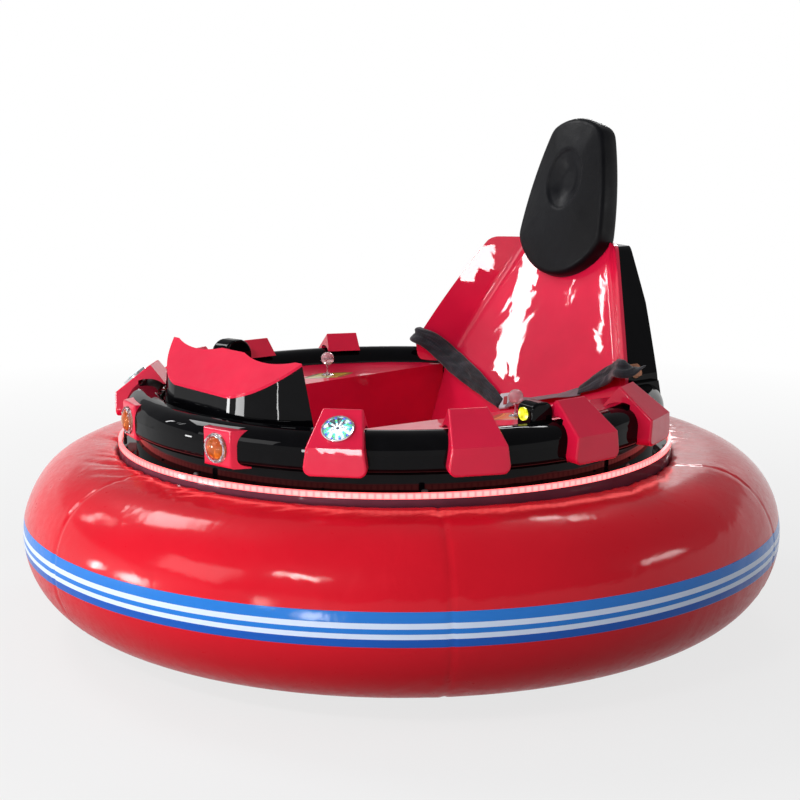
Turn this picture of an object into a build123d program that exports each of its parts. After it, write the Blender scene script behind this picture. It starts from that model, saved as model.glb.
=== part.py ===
"""Fairground bumper car with a round inflated bumper tube, in millimetres.

Frame: origin on the floor below the middle of the tube, -Y is the front of
the car, +X is the rider's left, +Z is up.
"""
from build123d import *
import math
import os

# ---------------------------------------------------------------- driving sizes
SEAT_GAP = 0.3            # seat left between curved faces that meet
FRP = 6.0                 # wall of the moulded body panels
CUT = 1.0                 # how far a cutting shape runs past what it cuts

# casters, front and rear, which set the height of the frame
CASTER_R = 62.5
CASTER_W = 40.0
CASTER_TRAIL = 40.0       # how far the wheel's axle trails the kingpin
CASTER_RISE = 40.0        # from the top of the wheel to the frame
CASTER_PLATE = 100.0
CASTER_PLATE_T = 6.0
CASTER_HUB_R = 15.0
CASTER_DISH_R = 42.0      # shallow dish in each side of the wheel
CASTER_DISH = 7.0
CASTER_ROUND = 7.0
RACE_R = 30.0
RACE_T = 8.0
RACE_GAP = 0.5
CROWN_R = 38.0
CROWN_T = 8.0
FORK_T = 4.0
FORK_GAP = 6.0
FORK_FOOT = 15.0          # half width of a fork's leg at the axle
FORK_FRONT = 24.0         # reach of its top ahead of the kingpin
FORK_REAR = 30.0          # and behind it
KINGPIN_R = 7.0
KINGPIN_TAIL = 7.0        # how far the kingpin stands out of the crown
CASTER_AXLE_R = 6.0
HEAD_PROUD = 4.0          # how far a bolt head is wider than its bolt

# steel frame
BAR = 40.0
BAR_WALL = 3.0
RAIL_X = 200.0
CROSS_Y = [-90.0, 90.0]   # outriggers that carry the motor plates
PAD_INSET = 104.0         # middle of a caster pad, front or rear, inwards from the lip

# round body panels that stand in the hole of the tube, a little ahead of its middle
BODY_Y = -22.0            # their common axis
SKIRT_R = 594.0           # outer radius of the skirt wall
SKIRT_LIP = 60.0          # inward lip that the frame is bolted to
FLANGE_REACH = 118.0      # from the skirt to the edge of the flange that lies on the tube
FLANGE_RISE = 20.0        # its top above the tube
FLANGE_APRON = 14.0       # thickness of its outer apron, which meets the tube
LED_WIDTH = 8.0
LED_HEIGHT = 12.0
FLOOR_T = 6.0             # cockpit floor

# inflated bumper tube
TUBE_GAP = 3.0            # between the skirt and the tube, at the front
TUBE_HALF_W = 178.0       # half width of its oval section
TUBE_HALF_H = 194.0       # half height of its oval section
TUBE_BOTTOM = 53.0        # clearance over the floor
VALVE_R = 14.0            # air valve on top of the tube, at the rear
VALVE_FLANGE_R = 20.0
VALVE_BORE_R = 5.0
VALVE_HEIGHT = 12.0
VALVE_FLANGE_T = 3.0

# coaming ring
RING_OFFSET = 46.0        # from the skirt to the middle of its section
RING_LIFT = 44.0          # over the flange
RING_WIDTH = 100.0
RING_HEIGHT = 91.0
RING_CROWN = 46.0         # rounding of its top corners
RING_FOOT = 18.0          # rounding of its bottom corners
RING_WALL = 5.0
RING_NECK = 56.0          # width of the neck between ring and flange

# lugs over the coaming ring: angle from the front, to each side
LEFT_LUG_ANGLES = [41.5, 66.4, 90.6, 112.5]
RIGHT_LUG_ANGLES = [-41.5, -66.4, -87.6, -113.4]
LUG_OUT = 82.0            # outer face, from the middle of the ring's section
LUG_IN = 48.0             # inner face, inwards from there
LUG_TOP_IN = 8.0          # inner end of the sloped face, inwards from there
LUG_FOOT = 3.0            # its foot above the ring's
LUG_BEND_DROP = 25.0      # top of the outer face, below the ring's top
LUG_RISE = 46.0           # over the ring
LUG_SEAT = 4.0            # how far its inner foot reaches down past the ring's top
LUG_HALF_BOTTOM = 73.0    # half widths at the bottom, the bend and the top
LUG_HALF_BEND = 64.0
LUG_HALF_TOP = 45.0
LUG_CORNER = 18.0
LUG_EDGE = 5.0
LUG_ARCH = 9.0            # gap between the ring and the underside of a lug's arch
LUG_LIGHT_R = 36.0
LUG_LIGHT_T = 8.0
LUG_LIGHT_SHIFT = 4.0     # outwards from the middle of the sloped face

# front headlamps
HEADLAMP_X = 204.0
HEADLAMP_PROUD = 5.0      # how far the face stands out of the ring
HEADLAMP_DROP = 7.5       # below the middle of the ring
HEADLAMP_TOE = 6.0        # degrees that it is turned in from square to the ring
POD_HALF_W = 44.0
POD_HALF_H = 43.0
POD_WEDGE = 42.0          # how far the outboard side runs on, sloping back
POD_DEPTH = 62.0
POD_ROUND = 7.0
LENS_R = 34.0
LENS_SEAT = 5.0           # depth of the recess that takes the lens
LENS_RIM = 5.0            # rim that stands out of the recess
LENS_LIP = 6.0            # width of that rim
LENS_DOME = 13.0

# side lamps on the inner half of the ring, between the second and the third lug
SIDE_LAMP_IN = 36.0       # its middle, inwards from the middle of the ring's section
SIDE_LAMP_WIDTH = 58.0
LEFT_LAMP_ANGLE = 83.1    # the left one is short and low
LEFT_LAMP_LENGTH = 60.0
LEFT_LAMP_RISE = 42.0     # over the ring
LEFT_LAMP_ARCH = 22.0     # radius of its top corners
RIGHT_LAMP_ANGLE = -77.4  # the right one is long and arched
RIGHT_LAMP_LENGTH = 110.0
RIGHT_LAMP_RISE = 58.0
RIGHT_LAMP_ARCH = 48.0
SIDE_LAMP_EDGE = 7.0
SIDE_LENS_R = 15.0
SIDE_LENS_LIFT = 1.0      # its foot over the ring
SIDE_LENS_T = 4.85

# hood in front of the rider
HOOD_LENGTH = 87.0
HOOD_INSET = 16.0         # its front edge, inwards from the ring
HOOD_REAR_HALF = 283.0
HOOD_FRONT_HALF = 119.0
HOOD_REAR_RISE = 127.0    # top plate over the ring at the rear edge
HOOD_FRONT_RISE = 50.0    # and at the front edge
HOOD_PLATE_T = 6.0
HOOD_FOOT_DROP = 36.0     # its foot, below the ring's top
HOOD_FLARE = 5.0          # degrees, wider towards the ring
HOOD_BULGE = 14.0         # how far its sides bow out
HOOD_EAR = 25.0           # straight ends of its rear edge
HOOD_SCALLOP = 15.0       # depth of the two hollows in that edge
HOOD_CREST = 50.0         # half width of the flat between the hollows

# side consoles
CONSOLE_DROP = 41.0       # its top, below the ring's
CONSOLE_IN = 124.5        # inner edge at y = 0, inwards from the tyre's middle
CONSOLE_SPLAY = 0.0888    # x gained for each y
CONSOLE_LAP = 14.0        # how far it runs in under the hood
CONSOLE_TAIL = 5.0        # how far its rear end runs on past BACK_Y

# joysticks
STICK_X = 391.0
STICK_Y = 42.0
STICK_R = 3.6
KNOB_R = 18.5
KNOB_RISE = 48.0          # middle of the knob over the console
KNOB_FLAT = 0.9           # its flat foot, as a share of its radius
CUP_EDGE = 3.0            # how far the cup under the knob is wider than the stick
COLLAR_R = 10.0
COLLAR_H = 7.0

# seat
RECLINE = 0.385           # y gained for each z on the backrest
BACK_INSET = 133.0        # face of the backrest at BACK_Z, inwards from the ring
BACK_Z = 499.0
BACK_BOTTOM = 330.0
BACK_TOP = 935.0
BACK_TOP_HALF = 246.0     # half width at the top
BACK_MID_HALF = 335.0     # half width at BACK_MID_Z
BACK_MID_Z = 788.0
BACK_WING_HALF = 424.0    # widest, at BACK_WING_Z
BACK_WING_Z = 620.0
BACK_FLAT_TOP = 160.0     # half width of the flat panel at BACK_TOP
BACK_FLAT_WING = 318.0    # and at BACK_WING_Z
BACK_WING_SLOPE = 0.86    # forward rise of the wings for each x
BACK_BEND_R = 60.0        # bend between flat panel and wing
BACK_CORNER = 34.0        # rounding of its top corners
WING_CORNER = 30.0        # and of the feet of its wings
WING_REACH = 330.0        # how far a wing's face is carried on to cut with
BACK_T = 12.0
SHELL_DROP = 3.0          # its top, below the backrest's
SHELL_FOOT = 2.0          # its foot over the ring's
SHELL_COVER = 4.0         # how far the part that runs out over the ring reaches above it
SHELL_WALL = 7.0
SEAT_FRONT_Y = 20.0
SEAT_TOP = 330.0

# headrest
HEAD_TILT = 12.5          # degrees back from upright
HEAD_PROJECTION = 54.3    # its face ahead of the backrest's, at HEAD_Z
HEAD_Z = 944.0
HEAD_BOTTOM = 841.0
HEAD_TOP = 1272.0
HEAD_LOW_HALF = 161.0     # half width at HEAD_Z
HEAD_MID_HALF = 141.0     # half width at HEAD_MID_Z
HEAD_MID_Z = 1086.0
HEAD_HIGH_HALF = 94.0     # half width at HEAD_HIGH_Z
HEAD_HIGH_Z = 1243.0
HEAD_T = 72.0
HEAD_CORNER = 30.0

# lap belt
SLEEVE_W = 52.0
SLEEVE_T = 16.0
WEBBING_W = 44.0
WEBBING_T = 3.0
WEBBING_END = 14.0        # how far it stops short of the left sleeve's end
BUCKLE_START = 20.0       # from the right sleeve's end
BUCKLE_L = 42.0
BUCKLE_T = 10.0
BELT_TIP_X = 100.0        # inner end of the rider's right sleeve
BELT_TIP_DROP = 81.0      # and how far that lies below the console's top
BELT_END_X = 207.0        # inner end of the rider's left sleeve
BELT_END_DROP = 10.0
BELT_ANCHOR_RISE = 35.0   # anchor plates over the ring
BRACKET_T = 4.0

# drive wheels
WHEEL_R = 125.0
WHEEL_W = 60.0
WHEEL_INSET = 94.0        # middle of the tyre, inwards from the lip
HUB_R = 76.0
HUB_RIM = 8.0             # thickness of the hub's rim
HUB_SETBACK = 10.0        # its edge, inwards from the side of the tyre
HUB_WEB = 10.0
HUB_HOLES = 6
HUB_HOLE_R = 9.0
HUB_HOLE_PITCH_R = 48.0
HUB_BOSS_R = 24.0
HUB_BOSS_IN = 22.0        # how far the boss stands out towards the motor
HUB_BOSS_SET = 8.0        # its other end, inwards from the side of the tyre
TYRE_ROUND = 14.0
SHAFT_R = 10.0
SHAFT_TAIL = 12.0         # how far the shaft stands out of the boss
NUT_R = 17.0
NUT_T = 9.0
FIT = 0.05                # radial clearance of a shaft in its bore
MOTOR_R = 38.0
MOTOR_CLEAR = 4.0         # between the motor's end and the frame's rail
MOTOR_PLATE_IN = 74.0     # inner face of the motor plate, inwards from the tyre's middle
MOTOR_PLATE_T = 6.0
MOTOR_PLATE_DROP = 4.0    # its foot below the motor
GEARBOX_LENGTH = 60.0
GEARBOX_HALF = 46.0
MOTOR_BOSS_R = 22.0
MOTOR_BOSS_T = 10.0

# battery
BATTERY_WIDTH = 330.0
BATTERY_HEIGHT = 170.0
BATTERY_GAP = 8.0         # to the backrest in front of it and to the skirt behind it

# charging socket in the back of the seat shell
SOCKET_Z = 660.0
SOCKET_R = 20.0
SOCKET_FLANGE_R = 27.0
SOCKET_BORE_R = 9.0
SOCKET_DEPTH = 28.0
SOCKET_FLANGE_T = 6.0
SOCKET_BARREL = 38.0      # length of the barrel behind the flange

# ---------------------------------------------------------------- worked out
FRAME_BOTTOM = 2 * CASTER_R + CASTER_RISE
SKIRT_BOTTOM = FRAME_BOTTOM - FRP
FLOOR_BOTTOM = FRAME_BOTTOM + BAR
FOOTWELL_FLOOR = FLOOR_BOTTOM + FLOOR_T
SKIRT_IN_R = SKIRT_R - FRP
PAD_Y = SKIRT_R - SKIRT_LIP - PAD_INSET
WHEEL_X = SKIRT_R - SKIRT_LIP - WHEEL_INSET
MOTOR_PLATE_X = WHEEL_X - MOTOR_PLATE_IN
CONSOLE_X0 = WHEEL_X - CONSOLE_IN

TUBE_MID_R = SKIRT_R - BODY_Y + TUBE_GAP + TUBE_HALF_W
TUBE_Z = TUBE_BOTTOM + TUBE_HALF_H
TUBE_TOP = TUBE_Z + TUBE_HALF_H
FLANGE_R = SKIRT_R + FLANGE_REACH
FLANGE_TOP = TUBE_TOP + FLANGE_RISE

RING_R = SKIRT_R + RING_OFFSET
RING_BOTTOM = FLANGE_TOP + RING_LIFT
RING_TOP = RING_BOTTOM + RING_HEIGHT
RING_MID_Z = (RING_BOTTOM + RING_TOP) / 2
RING_OUT_R = RING_R + RING_WIDTH / 2
CAVITY_R = RING_R - RING_WIDTH / 2      # inside of the coaming ring

LUG_OUT_R = RING_R + LUG_OUT
LUG_IN_R = RING_R - LUG_IN
LUG_TOP_R = RING_R - LUG_TOP_IN
LUG_BOTTOM = RING_BOTTOM + LUG_FOOT
LUG_BEND = RING_TOP - LUG_BEND_DROP
LUG_TOP = RING_TOP + LUG_RISE
HEADLAMP_Z = RING_MID_Z - HEADLAMP_DROP
HEADLAMP_Y = BODY_Y - math.sqrt((RING_OUT_R + HEADLAMP_PROUD) ** 2 - HEADLAMP_X ** 2)
HEADLAMP_TURN = math.degrees(math.asin(HEADLAMP_X / (RING_OUT_R + HEADLAMP_PROUD))) - HEADLAMP_TOE
SIDE_LAMP_R = RING_R - SIDE_LAMP_IN

HOOD_FRONT_Y = BODY_Y - CAVITY_R + HOOD_INSET
HOOD_REAR_Y = HOOD_FRONT_Y + HOOD_LENGTH
HOOD_REAR_Z = RING_TOP + HOOD_REAR_RISE
HOOD_FRONT_Z = RING_TOP + HOOD_FRONT_RISE
HOOD_BOTTOM = RING_TOP - HOOD_FOOT_DROP
HOOD_SLOPE = (HOOD_REAR_Z - HOOD_FRONT_Z) / HOOD_LENGTH

BACK_Y = BODY_Y + CAVITY_R - BACK_INSET
CONSOLE_TOP = RING_TOP - CONSOLE_DROP
CONSOLE_REAR_Y = BACK_Y + CONSOLE_TAIL
KNOB_Z = CONSOLE_TOP + KNOB_RISE
BELT_TIP_Z = CONSOLE_TOP - BELT_TIP_DROP
BELT_END_Z = CONSOLE_TOP - BELT_END_DROP
BELT_ANCHOR_Z = RING_TOP + BELT_ANCHOR_RISE
SHELL_TOP = BACK_TOP - SHELL_DROP
SHELL_BOTTOM = RING_BOTTOM + SHELL_FOOT
SHELL_SKIRT = RING_TOP + SHELL_COVER
HEAD_Y = BACK_Y + RECLINE * (HEAD_Z - BACK_Z) - HEAD_PROJECTION
BATTERY_TOP = FOOTWELL_FLOOR + BATTERY_HEIGHT
BATTERY_FRONT = BACK_Y + RECLINE * (BATTERY_TOP - BACK_Z) + BACK_T + BATTERY_GAP
BATTERY_REAR = BODY_Y + math.sqrt(SKIRT_IN_R ** 2 - (BATTERY_WIDTH / 2) ** 2) - BATTERY_GAP

# plan of the seat shell's rear: height, half width, then how far its corner and its middle
# stand out, each from the middle of the coaming ring's section
SHELL_ROWS = [
    (SHELL_BOTTOM, 452.0, -106.0, 58.0),
    (620.0, 432.0, -114.0, 47.0),
    (790.0, 345.0, -66.0, 35.0),
    (SHELL_TOP, 252.0, -34.0, 23.0),
]


# ---------------------------------------------------------------- helpers
def ring(section):
    """A ring swept once round the Z axis from a section drawn in XZ."""
    return revolve(section, Axis.Z, 360)


def section_polygon(points):
    """A face in the XZ plane from (radius, height) points."""
    return make_face(Plane.XZ * Polyline(*points, close=True))


def disc(radius, bottom, top, x=0.0, y=0.0):
    """An upright round slab."""
    return Pos(x, y, (bottom + top) / 2) * Cylinder(radius, top - bottom)


def x_rod(radius, x0, x1, y, z):
    """A round bar along X."""
    return Pos((x0 + x1) / 2, y, z) * Rot(0, 90, 0) * Cylinder(radius, abs(x1 - x0))


def slab(x0, x1, y0, y1, z0, z1):
    """A box from its lowest to its highest corner."""
    return Pos((x0 + x1) / 2, (y0 + y1) / 2, (z0 + z1) / 2) * Box(x1 - x0, y1 - y0, z1 - z0)


def around(shape, angle):
    """Turn a shape made on the front centreline round to an angle; + is rider's left."""
    return Rot(0, 0, angle) * shape


def mirrored(shape):
    return mirror(shape, about=Plane.YZ)


def on_body(shape):
    """Move a shape made about the Z axis to the axis of the round body panels."""
    return Pos(0, BODY_Y, 0) * shape


def save(shape, node):
    export_step(shape, f"parts/{node}.step")


def ring_section(grow):
    """Section of the coaming ring: fat oval on a neck, grown or shrunk by one distance."""
    half_w, half_h = RING_WIDTH / 2 + grow, RING_HEIGHT / 2 + grow
    oval = Rectangle(2 * half_w, 2 * half_h)
    oval = fillet(oval.vertices().group_by(Axis.Y)[-1], RING_CROWN + grow)
    oval = fillet(oval.vertices().group_by(Axis.Y)[0], RING_FOOT + grow)
    neck_bottom = FLANGE_TOP - max(grow, 0)
    neck = Rectangle(RING_NECK + 2 * grow, RING_MID_Z - neck_bottom)
    return Plane.XZ * (Pos(RING_R, RING_MID_Z) * oval
                       + Pos(RING_R, (RING_MID_Z + neck_bottom) / 2) * neck)


RING_SPACE = ring(ring_section(SEAT_GAP))         # about the Z axis
RING_KEEP_OUT = on_body(RING_SPACE)               # where the ring really stands


# ---------------------------------------------------------------- tube and body
def tube_space(grow):
    """The tube's whole volume, grown by a distance."""
    return ring(Plane.XZ * (Pos(TUBE_MID_R, TUBE_Z)
                            * Ellipse(TUBE_HALF_W + grow, TUBE_HALF_H + grow)))


def bumper_tube():
    """The inflated ring, drawn as its whole volume."""
    return tube_space(0)


def tube_valve():
    """Air valve, upright on top of the tube, with a blind bore."""
    foot = TUBE_TOP + SEAT_GAP
    body = disc(VALVE_R, foot, foot + VALVE_HEIGHT, 0, TUBE_MID_R)
    flange = disc(VALVE_FLANGE_R, foot, foot + VALVE_FLANGE_T, 0, TUBE_MID_R)
    bore = disc(VALVE_BORE_R, foot + VALVE_FLANGE_T, foot + VALVE_HEIGHT + CUT, 0, TUBE_MID_R)
    return body + flange - bore


def rim_flange():
    """Flat ring with an outer apron whose foot follows the tube."""
    inner = SKIRT_R + SEAT_GAP
    low = TUBE_Z + TUBE_HALF_H / 2
    channel = ring(section_polygon([
        (inner, FLANGE_TOP), (FLANGE_R, FLANGE_TOP), (FLANGE_R, low),
        (FLANGE_R - FLANGE_APRON, low), (FLANGE_R - FLANGE_APRON, FLANGE_TOP - FRP),
        (inner, FLANGE_TOP - FRP)]))
    return on_body(channel) - tube_space(SEAT_GAP)


def led_strip():
    return on_body(ring(section_polygon([
        (FLANGE_R - LED_WIDTH, FLANGE_TOP), (FLANGE_R, FLANGE_TOP),
        (FLANGE_R, FLANGE_TOP + LED_HEIGHT), (FLANGE_R - LED_WIDTH, FLANGE_TOP + LED_HEIGHT)])))


def lower_tub():
    """Skirt wall with an inward lip at its foot."""
    return on_body(ring(section_polygon([
        (SKIRT_R - SKIRT_LIP, SKIRT_BOTTOM), (SKIRT_R, SKIRT_BOTTOM), (SKIRT_R, FLANGE_TOP),
        (SKIRT_IN_R, FLANGE_TOP), (SKIRT_IN_R, SKIRT_BOTTOM + FRP),
        (SKIRT_R - SKIRT_LIP, SKIRT_BOTTOM + FRP)])))


def coaming_ring():
    """Hollow ring, with a pocket for each headlamp."""
    body = on_body(ring(ring_section(0) - ring_section(-RING_WALL)))
    pocket = pod_block(SEAT_GAP)
    return body - pocket - mirrored(pocket)


# ---------------------------------------------------------------- lugs and lamps
def lug_slope():
    """Downward slope of a lug's top face, as an angle."""
    return math.degrees(math.atan2(LUG_TOP - LUG_BEND, LUG_OUT_R - LUG_TOP_R))


def lug():
    """One lug on the front centreline, facing -Y, before it is turned round."""
    profile = make_face(Plane.YZ * Polyline(
        (-LUG_OUT_R, LUG_BOTTOM), (-LUG_OUT_R, LUG_BEND), (-LUG_TOP_R, LUG_TOP),
        (-LUG_IN_R, RING_TOP - LUG_SEAT), (-RING_R, RING_TOP - LUG_SEAT),
        (-RING_R, LUG_BOTTOM), close=True))
    body = extrude(profile, LUG_HALF_BOTTOM + CUT, both=True)
    per_z = (LUG_HALF_BEND - LUG_HALF_BOTTOM) / (LUG_BEND - LUG_BOTTOM)
    per_r = (LUG_HALF_BEND - LUG_HALF_TOP + per_z * (LUG_TOP - LUG_BEND)) / (LUG_OUT_R - LUG_TOP_R)
    for side in (1, -1):
        cut = Plane(origin=(side * LUG_HALF_BEND, -LUG_OUT_R, LUG_BEND),
                    z_dir=(side, per_r, -per_z))
        body = split(body, bisect_by=cut, keep=Keep.BOTTOM)
    low = [e for e in body.edges() if abs(e.center().Z - LUG_BOTTOM) < 1
           and abs(e.center().X) > LUG_HALF_TOP]
    body = fillet(low, LUG_CORNER)
    shown = [e for e in body.edges() if e.center().Z > LUG_BOTTOM + 1
             and (e.center().Y < -LUG_TOP_R + 1 and abs(e.center().X) > 1
                  and e.center().Y < -RING_R or abs(e.center().Z - LUG_TOP) < 1)]
    body = fillet(shown, LUG_EDGE)
    arch = ring(ring_section(LUG_ARCH)) & disc(RING_R + RING_WIDTH / 4, RING_MID_Z, LUG_TOP)
    return body - arch - RING_SPACE


def side_lugs(angles):
    lugs = [on_body(around(LUG_SHAPE, angle)) for angle in angles]
    return Compound(children=lugs)


def lug_light():
    """Round light on the sloped face of a lug on the front centreline."""
    mid_r = (LUG_OUT_R + LUG_TOP_R) / 2 + LUG_LIGHT_SHIFT
    slope = math.radians(lug_slope())
    mid_z = LUG_BEND + (LUG_OUT_R - mid_r) * math.tan(slope)
    out = Plane(origin=(0, -mid_r, mid_z), z_dir=(0, -math.sin(slope), math.cos(slope)))
    return out * Pos(0, 0, LUG_LIGHT_T / 2) * Cylinder(LUG_LIGHT_R, LUG_LIGHT_T)


def headlamp_place(shape):
    """Put a shape made about the lens centre, facing -Y, at the rider's left headlamp."""
    return Pos(HEADLAMP_X, HEADLAMP_Y, HEADLAMP_Z) * Rot(0, 0, HEADLAMP_TURN) * shape


def pod_block(grow):
    """Wedge-shaped block: square face with the lens, outboard side running on as it slopes back."""
    half = POD_HALF_W + grow
    outline = make_face(Polyline(
        (-half, -grow), (half, -grow), (half + POD_WEDGE, POD_DEPTH + grow),
        (-half, POD_DEPTH + grow), close=True))
    return headlamp_place(extrude(outline, POD_HALF_H + grow, both=True))


def headlamp_pod():
    pod = pod_block(0)
    front = pod.faces().sort_by(Axis.Y)[0]
    pod = fillet(front.edges(), POD_ROUND)
    recess = Rot(90, 0, 0) * Cylinder(LENS_R + SEAT_GAP, 2 * LENS_SEAT)
    return pod - headlamp_place(recess)


def headlamp_lens():
    """Round rim with a dome, seated in the pod."""
    rim = Pos(0, 0, (LENS_RIM - LENS_SEAT) / 2) * Cylinder(LENS_R, LENS_RIM + LENS_SEAT - 2 * SEAT_GAP)
    edge_r = LENS_R - LENS_LIP
    ball_r = (edge_r * edge_r + LENS_DOME * LENS_DOME) / (2 * LENS_DOME)
    ball = Pos(0, 0, LENS_RIM + LENS_DOME - ball_r) * Sphere(ball_r)
    dome = ball & disc(LENS_R, LENS_RIM - 1, LENS_RIM + LENS_DOME + 1)
    return headlamp_place(Rot(90, 0, 0) * (rim + dome))


def side_lamp(length, rise, arch):
    """Arched housing along the ring, standing on the console, made on the front centreline."""
    low, high = CONSOLE_TOP + SEAT_GAP, RING_TOP + rise
    half = length / 2
    profile = make_face(Plane.XZ * Polyline(
        (-half, low), (half, low), (half, high), (-half, high), close=True))
    profile = fillet([v for v in profile.vertices() if abs(v.Z - high) < 0.01], arch)
    body = Pos(0, -SIDE_LAMP_R, 0) * extrude(profile, SIDE_LAMP_WIDTH / 2, both=True)
    rims = [e for e in body.edges() if e.center().Z > RING_TOP and abs(
        abs(e.center().Y + SIDE_LAMP_R) - SIDE_LAMP_WIDTH / 2) < 0.01]
    return fillet(rims, SIDE_LAMP_EDGE) - RING_SPACE


def side_lens(length):
    """Round lens on the forward end of a side lamp, made on the front centreline."""
    z = RING_TOP + SIDE_LENS_R + SIDE_LENS_LIFT
    back = -length / 2 - SEAT_GAP / 2
    return x_rod(SIDE_LENS_R, back - SIDE_LENS_T, back, -SIDE_LAMP_R, z)


# ---------------------------------------------------------------- hood
def hood_outline(inset):
    """Plan of the hood at its top edge, with bowed sides and two hollows in its rear edge."""
    rear = HOOD_REAR_Y - inset
    front = HOOD_FRONT_Y + inset
    wide = HOOD_REAR_HALF - inset
    narrow = HOOD_FRONT_HALF - inset * 0.6
    mid_x = (wide + narrow) / 2 + HOOD_BULGE * 0.7
    mid_y = (rear + front) / 2 - HOOD_BULGE
    ear = wide - HOOD_EAR
    hollow = (ear + HOOD_CREST) / 2
    crest = rear - HOOD_SCALLOP / 8
    lines = (Line((-wide, rear), (-ear, rear))
             + ThreePointArc((-ear, rear), (-hollow, rear - HOOD_SCALLOP), (-HOOD_CREST, crest))
             + Line((-HOOD_CREST, crest), (HOOD_CREST, crest))
             + ThreePointArc((HOOD_CREST, crest), (hollow, rear - HOOD_SCALLOP), (ear, rear))
             + Line((ear, rear), (wide, rear))
             + ThreePointArc((wide, rear), (mid_x, mid_y), (narrow, front))
             + Line((narrow, front), (-narrow, front))
             + ThreePointArc((-narrow, front), (-mid_x, mid_y), (-wide, rear)))
    return make_face(lines)


def hood_cut(drop):
    """Plane of the hood's top, lowered along Z."""
    return Plane(origin=(0, HOOD_REAR_Y, HOOD_REAR_Z - drop), x_dir=(1, 0, 0),
                 z_dir=(0, -HOOD_SLOPE, 1))


def hood_block(inset, drop, bottom):
    """Flared block from a height up to the hood's sloping plane."""
    high = HOOD_REAR_Z + 5
    flare = Pos(0, 0, high) * hood_outline(inset)
    block = extrude(flare, high - bottom, dir=(0, 0, -1), taper=-HOOD_FLARE)
    return split(block, bisect_by=hood_cut(drop), keep=Keep.BOTTOM)


def hood_base():
    outer = hood_block(0, HOOD_PLATE_T, HOOD_BOTTOM)
    inner = hood_block(FRP, HOOD_PLATE_T + FRP, HOOD_BOTTOM - 1)
    return outer - inner - RING_KEEP_OUT


def hood_top():
    plate = hood_block(0, 0, HOOD_BOTTOM) - hood_block(-20, HOOD_PLATE_T, HOOD_BOTTOM - 20)
    return plate


# ---------------------------------------------------------------- consoles and floor
def console_x(y):
    """Inner edge of the rider's left console."""
    return CONSOLE_X0 + CONSOLE_SPLAY * y


def console_plan(inset, radius, front, rear):
    """Crescent between the console's inner edge and a circle."""
    edge = [(console_x(front) + inset, front), (console_x(rear) + inset, rear)]
    block = make_face(Polyline(edge[0], edge[1], (radius + 50, rear), (radius + 50, front),
                               close=True))
    return block & (Pos(0, BODY_Y) * Circle(radius))


def console():
    """Top plate and inner wall of the rider's left console."""
    outer = CAVITY_R - SEAT_GAP
    front = HOOD_REAR_Y + CONSOLE_LAP
    top = extrude(Pos(0, 0, CONSOLE_TOP - FRP) * console_plan(0, outer, front, CONSOLE_REAR_Y), FRP)
    wall_plan = (console_plan(0, SKIRT_IN_R - SEAT_GAP, front, CONSOLE_REAR_Y)
                 - console_plan(FRP, SKIRT_IN_R + 60, front - 9, CONSOLE_REAR_Y + 9))
    wall = extrude(Pos(0, 0, FOOTWELL_FLOOR) * wall_plan, CONSOLE_TOP - FOOTWELL_FLOOR)
    return top + wall


def cockpit_floor():
    wide = make_face(Polyline(
        (console_x(-600) + FRP, -600), (console_x(600) + FRP, 600),
        (-console_x(600) - FRP, 600), (-console_x(-600) - FRP, -600), close=True))
    plan = wide & (Pos(0, BODY_Y) * Circle(SKIRT_IN_R - SEAT_GAP))
    return extrude(Pos(0, 0, FLOOR_BOTTOM) * plan, FLOOR_T)


def seat_pan():
    """Low bench between the consoles: top plate and front wall."""
    rear = back_y(SEAT_TOP) - SEAT_GAP
    gap = SEAT_GAP
    x0, x1 = console_x(SEAT_FRONT_Y) - gap, console_x(rear) - gap
    top = extrude(make_face(Pos(0, 0, SEAT_TOP - FRP) * Polyline(
        (-x0, SEAT_FRONT_Y), (x0, SEAT_FRONT_Y), (x1, rear), (-x1, rear), close=True)), FRP)
    front = slab(-x0, x0, SEAT_FRONT_Y, SEAT_FRONT_Y + FRP, FOOTWELL_FLOOR, SEAT_TOP - FRP)
    bench = top + front
    nose = [e for e in bench.edges().filter_by(Axis.X)
            if abs(e.center().Z - SEAT_TOP) < 0.1 and abs(e.center().Y - SEAT_FRONT_Y) < 0.1]
    return fillet(nose, FRP * 0.8)


# ---------------------------------------------------------------- seat
def back_y(z):
    """Face of the flat panel of the backrest."""
    return BACK_Y + RECLINE * (z - BACK_Z)


def back_flat_half(z):
    share = (BACK_TOP - z) / (BACK_TOP - BACK_WING_Z)
    return BACK_FLAT_TOP + share * (BACK_FLAT_WING - BACK_FLAT_TOP)


def seat_space(behind):
    """All that lies in front of the backrest's face, moved back by a distance."""
    sections = []
    for z in (BACK_BOTTOM - 40, BACK_TOP + 40):
        y = back_y(z) + behind
        flat = back_flat_half(z)
        end = flat + WING_REACH
        end_y = y - BACK_WING_SLOPE * WING_REACH
        corners = Polyline((-end, end_y), (-flat, y), (flat, y), (end, end_y))
        bends = corners.vertices().sort_by(Axis.X)[1:3]
        bent = fillet(bends, BACK_BEND_R)
        front = Polyline((end, end_y), (end, -400), (-end, -400), (-end, end_y))
        sections.append(Pos(0, 0, z) * make_face(bent + front))
    return loft(sections, ruled=True)


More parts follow.
